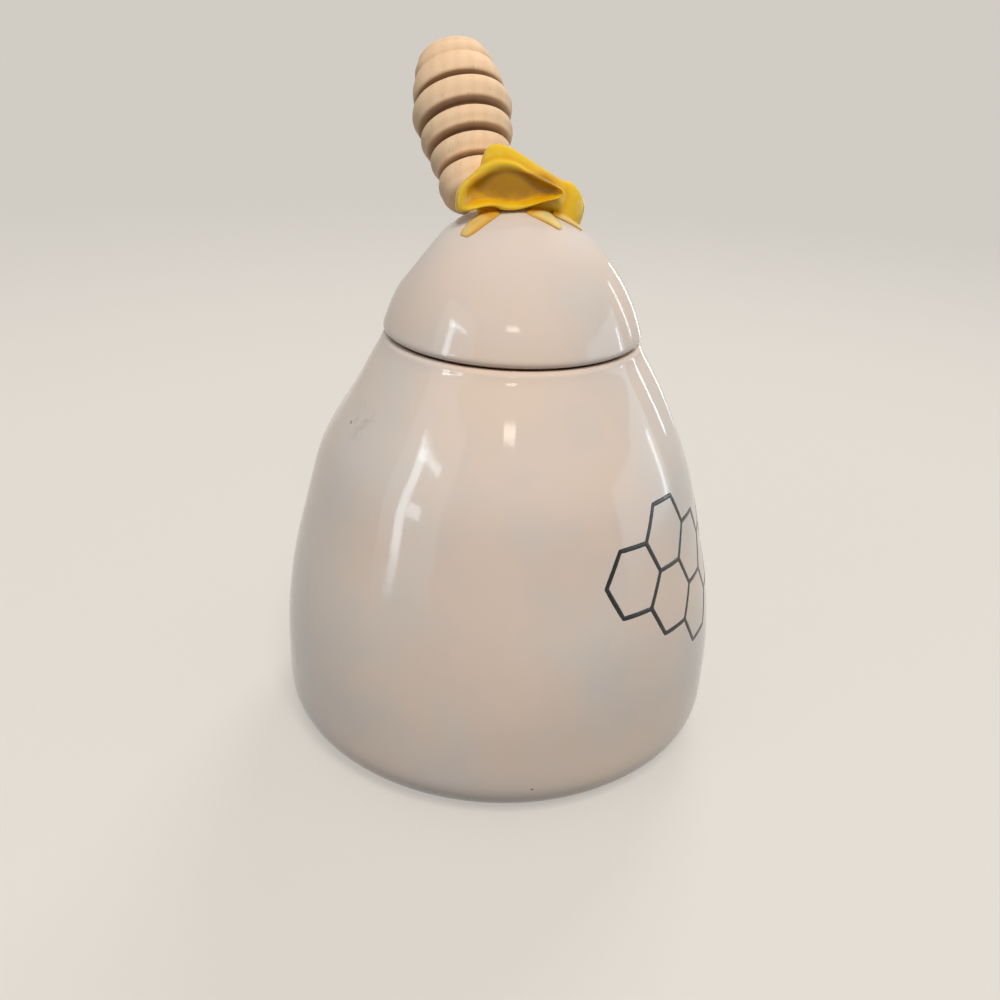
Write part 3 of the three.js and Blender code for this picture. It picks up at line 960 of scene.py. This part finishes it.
@dataclass
class Lid:
    """The domed lid with its locating ring and the hole that the dipper leans through."""

    radius: float = 34 * MM
    height: float = 32.5 * MM
    wall: float = 4.4 * MM
    edge: float = 2.4 * MM
    mouth: float = 30.1 * MM
    play: float = 0.6 * MM
    ring_width: float = 3.4 * MM
    ring_depth: float = 2.8 * MM
    taper: float = 2.4172 * MM
    base: float = 111.6 * MM
    turned: float = radians(-106)
    hole_radius: float = 5.6 * MM
    drill_length: float = 70 * MM
    drill_sides: int = 64
    steps: int = 48
    dome_steps: int = 14
    shading_angle: float = 40

    # Powers of the dome's curve, along its radius and its height
    powers = (2.2, 1.32)

    # Unevenness: how many random marks, and the limits of their bearing in radians, and of their
    # distance from the axis, height and reach in millimetres
    faint_marks = 22
    faint_limits = ((0, 2 * pi), (6, 31), (-0.22, 0.1), (10, 18))

    # A flatter spot on the dome: its place, how far it is pressed in and how wide, in millimetres
    flat = ((-24.0, 1.7, 20.5), -2.0, 9.5)

    def rise(self, distance: float) -> float:
        """Find the dome's height above the rim at a distance from the lid's axis."""
        share = min(distance / self.radius, 1.0) ** self.powers[0]
        return self.height * (1 - share) ** (1 / self.powers[1])

    def place(self) -> Matrix:
        """Find the lid's place on the pot, turned the way it sits in the photograph."""
        return Matrix.Translation((0, 0, self.base)) @ Matrix.Rotation(self.turned, 4, "Z")

    def dome(self, radius: float, height: float) -> Outline:
        """List the points of a dome's curve above the rounded edge.

        Args:
            radius: The dome's radius.
            height: The dome's height.

        Returns:
            The curve's points, the top last.
        """
        points = []
        for step in range(self.dome_steps + 1):
            angle = pi / 2 * step / self.dome_steps
            wide = 0.0 if step == self.dome_steps else cos(angle) ** (2 / self.powers[0])
            points.append((radius * wide, height * sin(angle) ** (2 / self.powers[1])))
        return [(r, z) for r, z in points if z > self.edge]

    def outline(self) -> Outline:
        """List the lid's section.

        Returns:
            Its points, from under the edge over the dome and back inside to the ring.
        """
        outer = self.mouth - self.play
        inner = outer - self.ring_width
        tip = (self.ring_width - self.taper) / 2
        return [
            (outer, 0),
            *arc((self.radius - self.edge, self.edge), self.edge, -90, -20, 3),
            *self.dome(self.radius, self.height),
            *self.dome(inner, self.height - self.wall)[::-1],
            *arc((inner + tip, tip - self.ring_depth), tip, 180, 360, 4),
            (outer, 0),
        ]

    def build(self, glaze: Material, dipper: "Dipper") -> None:
        """Model the lid, drill its hole and dress it.

        Args:
            glaze: The white glaze.
            dipper: The dipper that leans through the hole.
        """
        obj = lathe("lid_glazed", self.outline(), self.steps, cage=True)
        soft = random.Random(5)
        for _ in range(self.faint_marks):
            bearing, distance, depth, reach = [soft.uniform(*each) for each in self.faint_limits]
            spot = polar(distance * MM, bearing, self.rise(distance * MM))
            push(obj, spot, spot.normalized() * depth * MM, reach * MM)
        spot, depth, reach = self.flat
        push(obj, Vector(spot) * MM, Vector(spot).normalized() * depth * MM, reach * MM)
        subdivide(obj)
        settle(obj, self.place())
        clear()
        bpy.ops.mesh.primitive_cylinder_add(
            vertices=self.drill_sides, radius=self.hole_radius, depth=self.drill_length
        )
        drill = settle(bpy.context.object, dipper.place())
        modify(obj, "BOOLEAN", operation="DIFFERENCE", object=drill, solver="EXACT")
        bpy.data.objects.remove(drill)
        smooth(obj, self.shading_angle)
        dress(obj, Body.LID, glaze, Slot.WHITE, "lid")


# Bee


@dataclass(frozen=True)
class Wing:
    """One dished wing of the bee: its size, and where it stands on the lid, in millimetres."""

    name: str
    length: float
    thickness: float
    height: float
    spot: Triple
    turn: float
    side: int
    loop_steps: int = 3
    stand_off: float = 0.8
    back_share: float = 0.93

    # Outline as shares of the length and the height
    outline = ((-0.01, 0.05), (-0.01, 0.36), (0.046, 0.565), (0.15, 0.77), (0.223, 0.93),
               (0.337, 1.05), (0.444, 1.07), (0.551, 1.015), (0.629, 0.914), (0.762, 0.768),
               (0.9, 0.63), (0.99, 0.53), (1.02, 0.43), (0.969, 0.336), (0.83, 0.254),
               (0.691, 0.149), (0.552, 0.07), (0.421, 0.07), (0.354, 0.13), (0.236, 0.11),
               (0.129, 0.03), (0.032, 0))

    # Rings from the back to the bottom of the dish: depth in front of the back in shares of the
    # thickness, scale along and up, and shift in shares of the length
    rings = ((0.12, 1.0, 1.0, 0), (0.6, 1.0, 1.0, 0), (0.88, 0.985, 0.965, 0.006),
             (1.0, 0.95, 0.89, 0.018), (0.98, 0.915, 0.8, 0.032), (0.86, 0.88, 0.7, 0.045),
             (0.68, 0.845, 0.61, 0.056), (0.52, 0.79, 0.52, 0.06), (0.43, 0.66, 0.42, 0.06),
             (0.38, 0.42, 0.27, 0.06), (0.36, 0.14, 0.1, 0.06))

    # Middle and half axes of the dish as shares of the length and the height
    dish = (0.55, 0.53, 0.44, 0.34)

    # Where the dish's pooled glaze and painted shade end and how softly, and which way its
    # surface still faces
    pool_end, pool_fade, facing = 1.25, 0.6, 0.2

    # How rich the pool and painted shade are low down, and the rise over which they get full, in
    # shares of the height: the upper dish gets more painted shade, as its rim overhangs it
    pool_low, full_from, full_over = 0.66, 0.3, 0.25

    def place(self) -> Matrix:
        """Find the wing's place on the lid, its dish turned to its own side."""
        turned = Matrix.Rotation(radians(self.turn), 4, "Z")
        mirrored = Matrix.Scale(-self.side, 4, (0, 1, 0))
        return Matrix.Translation(Vector(self.spot) * MM) @ turned @ mirrored

    def build(self) -> Obj:
        """Model the wing.

        Returns:
            The wing, standing in its place.
        """
        closed = [self.outline[-1], *self.outline, self.outline[0], self.outline[1]]
        loop = []
        for i in range(len(self.outline) * self.loop_steps):
            along, up = catmull(closed, (1 + i / self.loop_steps) / (len(closed) - 1))
            loop.append(Vector((along * self.length, self.stand_off, up * self.height)) * MM)
        middle, back = sum(loop, Vector()) / len(loop), self.back_share
        loop = [middle + (spot - middle) * back for spot in loop]
        rings = []
        for depth, wide, tall, shift in self.rings:
            move = Vector((shift * self.length, -self.thickness * depth, 0)) * MM
            rings.append((move, Vector((wide, 1, tall)) / back))
        obj = loft(self.name, loop, rings)
        subdivide(obj, 1)
        settle(obj, self.place())
        tidy(obj)
        return obj

    def depth_at(self, spots: np.ndarray, normals: np.ndarray) -> np.ndarray:
        """Find the pooled glaze and painted shade that the wing's dish gives some spots.

        Args:
            spots: The spots, on the lid.
            normals: The surface's directions there.

        Returns:
            One number for each spot: 0 outside the dish, 1 in its upper middle, where most shade
                is painted.
        """
        back = np.array(self.place().inverted())
        own = (spots @ back[:3, :3].T + back[:3, 3]) / MM
        along, up = own[:, 0] / self.length, own[:, 2] / self.height
        x, z, wide, tall = self.dish
        away = ((along - x) / wide) ** 2 + ((up - z) / tall) ** 2
        inside = np.clip((self.pool_end - away) / self.pool_fade, 0, 1)
        inside = inside * (normals @ back[1, :3] < self.facing)
        # Painted shade: the dish gets darker towards its top, under its overhanging rim
        full = np.clip((up - self.full_from) / self.full_over, 0, 1)
        return inside * (self.pool_low + (1 - self.pool_low) * full)


@dataclass
class Bee:
    """The bee on the lid: a high body, a round head, a dished wing on each side and six legs."""

    lid: Lid
    body_sides: int = 20
    sunk: float = 1.0 * MM
    nose: float = 1.2 * MM
    nose_share: float = 0.6
    voxel: float = 0.25 * MM
    shading_angle: float = 60
    leg_overrun: float = 1.6 * MM
    leg_height: float = 0.6 * MM
    leg_bluntness: float = 0.55

    # Body from tail to head, in millimetres on the lid: along, across, height of the back, width
    body_stops = ((-10.3, -4.4, 37.5, 3.0), (-9.4, -4.4, 44.9, 4.6), (-7.4, -4.4, 47.1, 5.6),
                  (-4.7, -4.3, 47.3, 6.2), (-1.9, -3.9, 46.3, 6.8), (1.0, -3.0, 44.5, 7.6),
                  (5.3, -0.8, 41.8, 8.6), (9.6, 1.4, 39.2, 8.4), (12.2, 2.4, 38.0, 6.2))

    # Head, in millimetres: its middle and half axes, and where, how far and how widely its front
    # is pulled out
    head_middle = (11.5, 2.6, 31.0)
    head_size = (4.9, 4.0, 7.4)
    head_pull = ((4.9, 0, 1.5), (0.5, 0, 0.4), 4)

    wings = (
        Wing("bee_wing_right_shape", 25.7, 4.0, 11.92, (-15.1, -6.5, 31.2), 6, -1),
        Wing("bee_wing_left_shape", 12, 4.0, 10, (1, 1.2, 28.7), 20, 1),
    )

    # Pools of glaze: softening passes and the share that each moves, the depth on a flat
    # surface, what each millimetre of hollow adds and the most it comes to
    pool_passes, pool_step, pool_flat, pool_gain, pool_most = 60, 0.6, 0.3, 1.1, 0.8

    # Legs: distance of root and tip from the lid's axis in shares of its radius with their
    # bearings, half widths there in millimetres, and how much glaze they carry
    legs = {
        "leg_right_rear": ((0.25, -135), (0.5, -136), (3.0, 2.5), 0.4),
        "leg_right_middle": ((0.18, -46), (0.4, -43), (4.4, 1.3), 0.1),
        "leg_right_front": ((0.28, -9), (0.46, -8), (3.4, 1.1), 0.0),
        "leg_left_rear": ((0.15, 75), (0.5, 100), (1.9, 1.4), 0.3),
        "leg_left_middle": ((0.16, 42), (0.47, 60), (2.0, 1.3), 0.2),
        "leg_left_front": ((0.3, 10), (0.5, 25), (1.9, 1.2), 0.2),
    }

    def body(self) -> Obj:
        """Model the high body, ring by ring from its tail to its head.

        Returns:
            The body.
        """
        rings = []
        for along, across, back, width in self.body_stops:
            floor = self.lid.rise(hypot(along, across) * MM) - self.sunk
            middle = Vector((along * MM, across * MM, (floor + back * MM) / 2))
            rings.append((middle, width / 2 * MM, (back * MM - floor) / 2))
        start, wide, high = rings[0]
        turns = [2 * pi * i / self.body_sides for i in range(self.body_sides)]
        loop = [start + Vector((0, wide * cos(a), high * sin(a))) for a in turns]
        steps = [(middle - start, Vector((1, across / wide, up / high)))
                 for middle, across, up in rings[1:]]
        end, scale = steps[-1]
        steps.append((end + Vector((self.nose, 0, 0)), scale * self.nose_share))
        obj = loft("bee_body_shape", loop, steps)
        subdivide(obj)
        return obj

    def head(self) -> Obj:
        """Model the round head, pulled forward a little at the front.

        Returns:
            The head.
        """
        clear()
        middle = Vector(self.head_middle) * MM
        bpy.ops.mesh.primitive_uv_sphere_add(
            segments=32, ring_count=20, radius=MM, location=middle
        )
        obj = made("bee_head_shape")
        edit(obj, "SELECT")
        bpy.ops.transform.resize(value=self.head_size, center_override=middle)
        leave()
        settle(obj)
        spot, move, reach = self.head_pull
        push(obj, middle + Vector(spot) * MM, Vector(move) * MM, reach * MM)
        return obj

    def figure(self) -> Obj:
        """Model body, head and wings, and run them together as the glaze does.

        Returns:
            The figure, in the lid's own directions.
        """
        shapes = [self.body(), self.head(), *[wing.build() for wing in self.wings]]
        obj = unite(shapes, "bee_glazed")
        fuse(obj, self.voxel, 0.6, 20)
        return obj

    def pooled(self, obj: Obj) -> np.ndarray:
        """Measure the glaze's pooling at each corner of the figure, from 0 to 1, with painted
        shade in the wings' dishes.

        Args:
            obj: The figure, in the lid's own directions.

        Returns:
            One number for each corner.
        """
        spots, normals = corners_of(obj), corners_of(obj, "normal")
        edges = np.empty(len(obj.data.edges) * 2, int)
        obj.data.edges.foreach_get("vertices", edges)
        one, other = edges.reshape(-1, 2).T
        here, there = np.concatenate((one, other)), np.concatenate((other, one))
        count = np.bincount(here, minlength=len(spots))
        soft = spots.copy()
        for _ in range(self.pool_passes):
            sums = [np.bincount(here, soft[there, axis], len(spots)) for axis in range(3)]
            mean = np.stack(sums, axis=1) / count[:, None]
            soft = soft * (1 - self.pool_step) + mean * self.pool_step
        hollow = ((soft - spots) * normals).sum(axis=1) / MM
        pools = [np.clip(self.pool_flat + hollow * self.pool_gain, 0, self.pool_most)]
        # Painted shade: the wings' dishes are darkened, most near their tops, as if their rims
        # shade them
        pools += [wing.depth_at(spots, normals) for wing in self.wings]
        return np.max(pools, axis=0)

    def leg(self, name: str, root: Pair, tip: Pair, broad: Pair, rich: float) -> Obj:
        """Model one leg, a flat brushed leaf of glaze that lies on the dome.

        Args:
            name: The new object's name.
            root: The root's distance and bearing.
            tip: The tip's distance and bearing.
            broad: Half its width at the root and at the tip, in millimetres.
            rich: How much glaze it carries, from 0 to 1.

        Returns:
            The leg, in the lid's own directions.
        """
        start, end = [polar(share * self.lid.radius, radians(bearing))
                      for share, bearing in (root, tip)]
        along = (end - start).normalized()
        aside = Vector((-along.y, along.x, 0))
        length = (end - start).length + self.leg_overrun
        middle = (start + end) / 2
        clear()
        bpy.ops.mesh.primitive_uv_sphere_add(
            segments=32, ring_count=24, radius=1, rotation=(0, pi / 2, 0)
        )
        obj = settle(made(name))
        pool = np.zeros(len(obj.data.vertices))
        for index, corner in enumerate(obj.data.vertices):
            x, y, z = corner.co
            girth = max(0.08, sqrt(max(0.0, 1 - x * x)))
            blunt = girth**-self.leg_bluntness
            half = (broad[0] * (1 - x) + broad[1] * (1 + x)) / 2 * MM
            spot = middle + along * (x * length / 2) + aside * (y * blunt * half)
            at_edge = 0.7 * min(1.0, abs(y) / girth) ** 4
            at_root = min(1.0, max(0.0, -x - 0.15) / 0.6)
            pool[index] = rich + max(at_edge, at_root)
            height = self.lid.rise(hypot(spot.x, spot.y)) + z * blunt * self.leg_height
            corner.co = (spot.x, spot.y, height)
        write_attribute(obj, "pool", pool)
        return obj

    def build(self, glaze: Material, thin: Material) -> None:
        """Model the bee and its legs and dress them.

        Args:
            glaze: The full yellow glaze.
            thin: The thin yellow glaze of the legs.
        """
        figure = self.figure()
        # The pool attribute carries painted shade in the wings' dishes besides the glaze's pooling
        write_attribute(figure, "pool", self.pooled(figure))
        settle(figure, self.lid.place())
        smooth(figure, self.shading_angle)
        dress(figure, Body.LID, glaze, Slot.YELLOW,
              "bee_body", "bee_head", "bee_wing_right", "bee_wing_left")
        for name, sizes in self.legs.items():
            leg = settle(self.leg(name + "_glazed", *sizes), self.lid.place())
            smooth(leg, self.shading_angle)
            dress(leg, Body.LID, thin, Slot.YELLOW, name)


# Dipper


@dataclass
class Dipper:
    """The turned dipper: a head of five rings on a plain round handle."""

    foot: Triple = (11.238562 * MM, 7.266254 * MM, 143.073397 * MM)
    axis: Triple = (0.651876, 0.045584, 0.756954)
    side: Triple = (-0.192713, -0.955463, 0.223499)
    length: float = 43.4 * MM
    radius: float = 12.9 * MM
    groove_depth: float = 3.2 * MM
    corner: float = 0.4 * MM
    edge: float = 0.8 * MM
    bulge: float = 0.4 * MM
    underside: float = 3.0 * MM
    end: float = 2.2 * MM
    socket_radius: float = 3.55 * MM
    socket_depth: float = 15.0 * MM
    handle_radius: float = 3.25 * MM
    handle_length: float = 78.114 * MM
    handle_play: float = 0.3 * MM
    tip: float = 2.2 * MM
    head_sides: int = 96
    handle_sides: int = 48
    handle_steps: int = 24
    barrel_steps: int = 80
    shading_angle: float = 50
    shade_from: float = 0.5 * MM
    shade_over: float = 1.0 * MM

    # Barrel of the head: share of its length and of its largest radius
    barrel_shares = ((0, 0.67), (0.09, 0.72), (0.2, 0.73), (0.345, 0.86), (0.48, 0.945),
                     (0.62, 1), (0.76, 0.91), (0.9, 0.79), (1, 0.68))

    # Where each ring starts and ends, as shares of the head's length
    ring_shares = ((0, 0.177), (0.205, 0.32), (0.36, 0.472), (0.521, 0.659), (0.705, 0.862))

    def place(self) -> Matrix:
        """Find the dipper's place in the lid.

        Returns:
            The place of a dipper modelled upright on its own Z axis.
        """
        up, right = Vector(self.axis), Vector(self.side)
        turn = Matrix((right, up.cross(right), up)).transposed().to_4x4()
        return Matrix.Translation(self.foot) @ turn

    def barrel(self, heights: float | np.ndarray) -> np.ndarray:
        """Find the head's radius on a smooth curve through the barrel's points.

        Args:
            heights: One height or several.

        Returns:
            The radius at each height.
        """
        steps = self.barrel_steps
        fine = np.array([catmull(self.barrel_shares, i / steps) for i in range(steps + 1)])
        return self.radius * np.interp(heights / self.length, fine[:, 0], fine[:, 1])

    def ring_side(self, low: float, high: float) -> Outline:
        """List the points of a ring's side, which swells a little between its edges.

        Args:
            low: The height where the side starts.
            high: The height where it ends.

        Returns:
            The side's points.
        """
        shares = [step / 5 for step in range(1, 5)]
        heights = [low + (high - low) * share for share in shares]
        return [(self.barrel(z) + self.bulge * sin(pi * share), z)
                for z, share in zip(heights, shares)]

    def head_outline(self) -> Outline:
        """List the section of the head: a socket, five rings, a fine line and a rounded end.

        Returns:
            Its points, from the socket's end to the middle of the top.
        """
        low, edge, corner = self.underside, self.edge, self.corner
        outline = [(0, self.socket_depth), (self.socket_radius, self.socket_depth),
                   (self.socket_radius, corner), (self.socket_radius + corner, 0),
                   *arc((self.barrel(low) - low, low), low, -90, 0, 10)]
        for ring, (start, stop) in enumerate(self.ring_shares):
            bottom, top = self.length * start, self.length * stop
            if ring > 0:
                deep, rim = self.barrel(bottom) - self.groove_depth, bottom + edge
                outline += [(deep, bottom - corner), (deep + corner, bottom),
                            *arc((self.barrel(rim) - edge, rim), edge, -90, 0, 4)]
            outline += self.ring_side(low if ring == 0 else bottom + edge, top - edge)
            if ring < len(self.ring_shares) - 1:
                deep, rim = self.barrel(top) - self.groove_depth, top - edge
                outline += [*arc((self.barrel(rim) - edge, rim), edge, 0, 90, 4),
                            (deep + corner, top), (deep, top + corner)]
            else:
                outline += [(self.barrel(top - corner), top - corner),
                            (self.barrel(top) - corner, top),
                            (self.barrel(top + corner), top + corner)]
        rim = self.length - self.end
        outline += self.ring_side(self.length * self.ring_shares[-1][1] + corner, rim)
        outline += arc((self.barrel(rim) - self.end, rim), self.end, 0, 90, 8)
        return [*outline, (0, self.length)]

    def finish(self, obj: Obj, groove: np.ndarray, wood: Material, node: str) -> None:
        """Lay one turned piece in its place and dress it.

        Args:
            obj: The piece.
            groove: How much painted shade each corner gets deep in the head's grooves, from 0 to
                1.
            wood: The wood.
            node: The CAD node that it replaces.
        """
        write_attribute(obj, "groove", groove)
        settle(obj, self.place())
        smooth(obj, self.shading_angle)
        dress(obj, Body.DIPPER, wood, Slot.WOOD, node)

    def build(self) -> None:
        """Model the head and the handle and dress them."""
        turn = self.place().to_3x3().inverted().to_euler()
        wood = Beech().build("turned beech", tuple(turn))
        head = lathe("dipper_head_turned", self.head_outline(), self.head_sides)
        spots = corners_of(head)
        heights, reach = spots[:, 2], np.hypot(spots[:, 0], spots[:, 1])
        # Painted shade: corners that lie below the barrel, down in the grooves, are marked for
        # darker wood
        sunk = np.clip((self.barrel(heights) - reach - self.shade_from) / self.shade_over, 0, 1)
        inside = (heights > self.underside) & (heights < self.length - self.end)
        self.finish(head, sunk * inside, wood, "dipper_head")
        r, low, top = self.handle_radius, -self.handle_length, self.socket_depth - self.handle_play
        steps = self.handle_steps
        outline = [(0, low), *arc((r - self.tip, low + self.tip), self.tip, -90, 0, 8),
                   *[(r, low + (top - low) * i / steps) for i in range(1, steps + 1)], (0, top)]
        handle = lathe("dipper_handle_turned", outline, self.handle_sides)
        self.finish(handle, np.zeros(len(handle.data.vertices)), wood, "dipper_handle")


# Studio


@dataclass
class Studio:
    """The pale floor, the soft lights and the camera."""

    floor_radius: float = 2.6
    floor_sides: int = 96
    floor_roughness: float = 0.9
    floor_specular: float = 0.1
    floor_glow: float = 1.35
    floor_glow_share: float = 0.5
    floor_fade: Pair = (0.25, 1.0)
    pale: Colour = colour(209, 204, 196)
    thrown: Colour = (0.06, 0.065, 0.07, 1.0)
    sky_tint: Colour = (0.94, 0.975, 1.0, 1.0)
    sky_heights: Pair = (-0.2, 0.9)
    sky_strength: Pair = (0.13, 0.3)
    aim: Triple = (0, 0, 0.09)
    spot: Triple = (-0.246852, 0.070784, 0.1842)
    turn: Triple = (64.5953, -2.4392, -104.6020)
    lens: float = 36.0
    sensor: float = 36.0
    clip: Pair = (0.01, 30.0)

    # Softboxes: bearing, height and distance, width and height in metres, watts, tint, and
    # whether the glaze mirrors them
    softboxes = {
        "key softbox": ((176, 57, 2.4), (0.9, 0.9), 37, (1.0, 0.95, 0.885), False),
        "back softbox": ((-32, 40, 2.4), (0.9, 0.9), 24, (1.0, 0.97, 0.94), False),
        "window softbox": ((112, 14, 0.9), (0.6, 0.85), 1.2, (0.85, 0.95, 1.0), True),
        "side softbox": ((-105, 2, 1.3), (1.1, 0.8), 3.6, (0.6, 0.84, 1.0), True),
        "small lamp": ((166, 40, 1.5), (0.2, 0.06), 0.3, (1.0, 0.93, 0.8), True),
    }

    # Bright shapes that only the glaze mirrors, as a window with its bars and thin tubes of
    # light: bearing, height and distance, width and height in metres, and brightness
    gleams = (
        ((107, 10.5, 0.9), (0.085, 0.64), 6.0), ((112.5, 29.8, 0.9), (0.27, 0.035), 6.0),
        ((114, 8, 0.9), (0.12, 0.1), 5.0), ((-43, -3, 1.0), (0.04, 0.35), 7.0),
        ((-68, 10, 1.0), (0.035, 0.3), 6.0), ((-88, 4, 1.0), (0.04, 0.3), 6.0),
    )
    gleam_tint = (0.78, 0.92, 1.0)

    def floor(self) -> None:
        """Lay a round pale floor that keeps shadows and fades into the background."""
        clear()
        bpy.ops.mesh.primitive_circle_add(
            vertices=self.floor_sides, radius=self.floor_radius, fill_type="NGON"
        )
        obj = made("studio_floor")
        sheet = NodeSheet("pale floor")
        seen = sheet.seen()
        away = sheet.add("VectorMath", {0: sheet.place()}, operation="LENGTH").outputs["Value"]
        inputs = {"Base Color": sheet.mix(seen, self.thrown, self.pale),
                  "Roughness": self.floor_roughness, "Specular IOR Level": self.floor_specular}
        sheet.join(sheet.surface, inputs)
        glow = sheet.add("Emission", {"Color": self.pale, "Strength": self.floor_glow})
        lit = sheet.times(seen, self.floor_glow_share)
        shown = sheet.add("MixShader", {0: lit, 1: sheet.surface.outputs[0], 2: glow.outputs[0]})
        clear_part = sheet.add("BsdfTransparent").outputs[0]
        fade = sheet.spread(away, *self.floor_fade)
        mixed = sheet.add("MixShader", {0: fade, 1: shown.outputs[0], 2: clear_part})
        sheet.join(sheet.tree.nodes["Material Output"], {"Surface": mixed.outputs[0]})
        obj.data.materials.append(sheet.owner)

    def sky(self) -> None:
        """Light the scene softly from above, and show a pale background behind it."""
        sheet = NodeSheet("studio", world=True)
        bpy.context.scene.world = sheet.owner
        way = sheet.add("TexCoord").outputs["Generated"]
        up = sheet.add("SeparateXYZ", {"Vector": way}).outputs["Z"]
        strength = sheet.spread(up, *self.sky_heights, self.sky_strength)
        sheet.join(sheet.surface, {"Color": self.sky_tint, "Strength": strength})
        shown = sheet.add("Background", {"Color": self.pale, "Strength": 1.0}).outputs[0]
        inputs = {0: sheet.seen(), 1: sheet.surface.outputs[0], 2: shown}
        mixed = sheet.add("MixShader", inputs)
        sheet.join(sheet.tree.nodes["World Output"], {"Surface": mixed.outputs[0]})

    def lamp(self, name: str, way: Triple, size: Pair, watts: float, tint: Triple,
             mirrored: bool = True, lights: bool = True) -> None:
        """Hang one rectangular soft box that faces the pot.

        Args:
            name: The lamp's name.
            way: Its bearing and height in degrees as seen from the pot, and its distance.
            size: Its width and height.
            watts: Its power.
            tint: The colour of its light.
            mirrored: Whether the glaze mirrors it.
            lights: Whether it lights what it shines on.
        """
        light = bpy.data.lights.new(name, "AREA")
        light.shape = "RECTANGLE"
        light.size, light.size_y = size
        light.energy = watts
        light.color = tint
        obj = bpy.data.objects.new(name, light)
        bpy.context.scene.collection.objects.link(obj)
        bearing, height, distance = radians(way[0]), radians(way[1]), way[2]
        out = polar(cos(height), bearing, sin(height))
        obj.location = Vector(self.aim) + out * distance
        obj.rotation_euler = (-out).to_track_quat("-Z", "Y").to_euler()
        obj.visible_camera = False
        obj.visible_glossy = mirrored
        obj.visible_diffuse = lights

    def camera(self) -> None:
        """Set the camera where the photograph was taken from."""
        data = bpy.data.cameras.new("photograph")
        data.lens, data.sensor_width, data.sensor_fit = self.lens, self.sensor, "HORIZONTAL"
        data.clip_start, data.clip_end = self.clip
        obj = bpy.data.objects.new("photograph", data)
        bpy.context.scene.collection.objects.link(obj)
        obj.location = self.spot
        obj.rotation_euler = [radians(a) for a in self.turn]
        bpy.context.scene.camera = obj

    def build(self) -> None:
        """Set up the floor, the lights and the camera."""
        self.floor()
        self.sky()
        for name, settings in self.softboxes.items():
            self.lamp(name, *settings)
        for number, (way, size, bright) in enumerate(self.gleams, 1):
            watts = bright * pi * size[0] * size[1]
            self.lamp(f"gleam {number}", way, size, watts, self.gleam_tint, lights=False)
        self.camera()
        bpy.context.scene.view_settings.view_transform = "Standard"


def main() -> None:
    """Build the honey pot and its studio."""
    logging.basicConfig(level=logging.INFO, format="%(name)s: %(message)s")
    dipper = Dipper()
    lid = Lid()
    white = Pot().build(Honeycomb())
    lid.build(white, dipper)
    Bee(lid).build(YellowGlaze().build("honey glaze"), ThinGlaze().build("thin honey glaze"))
    dipper.build()
    Studio().build()
    bpy.context.view_layer.update()


if __name__ == "__main__":
    main()
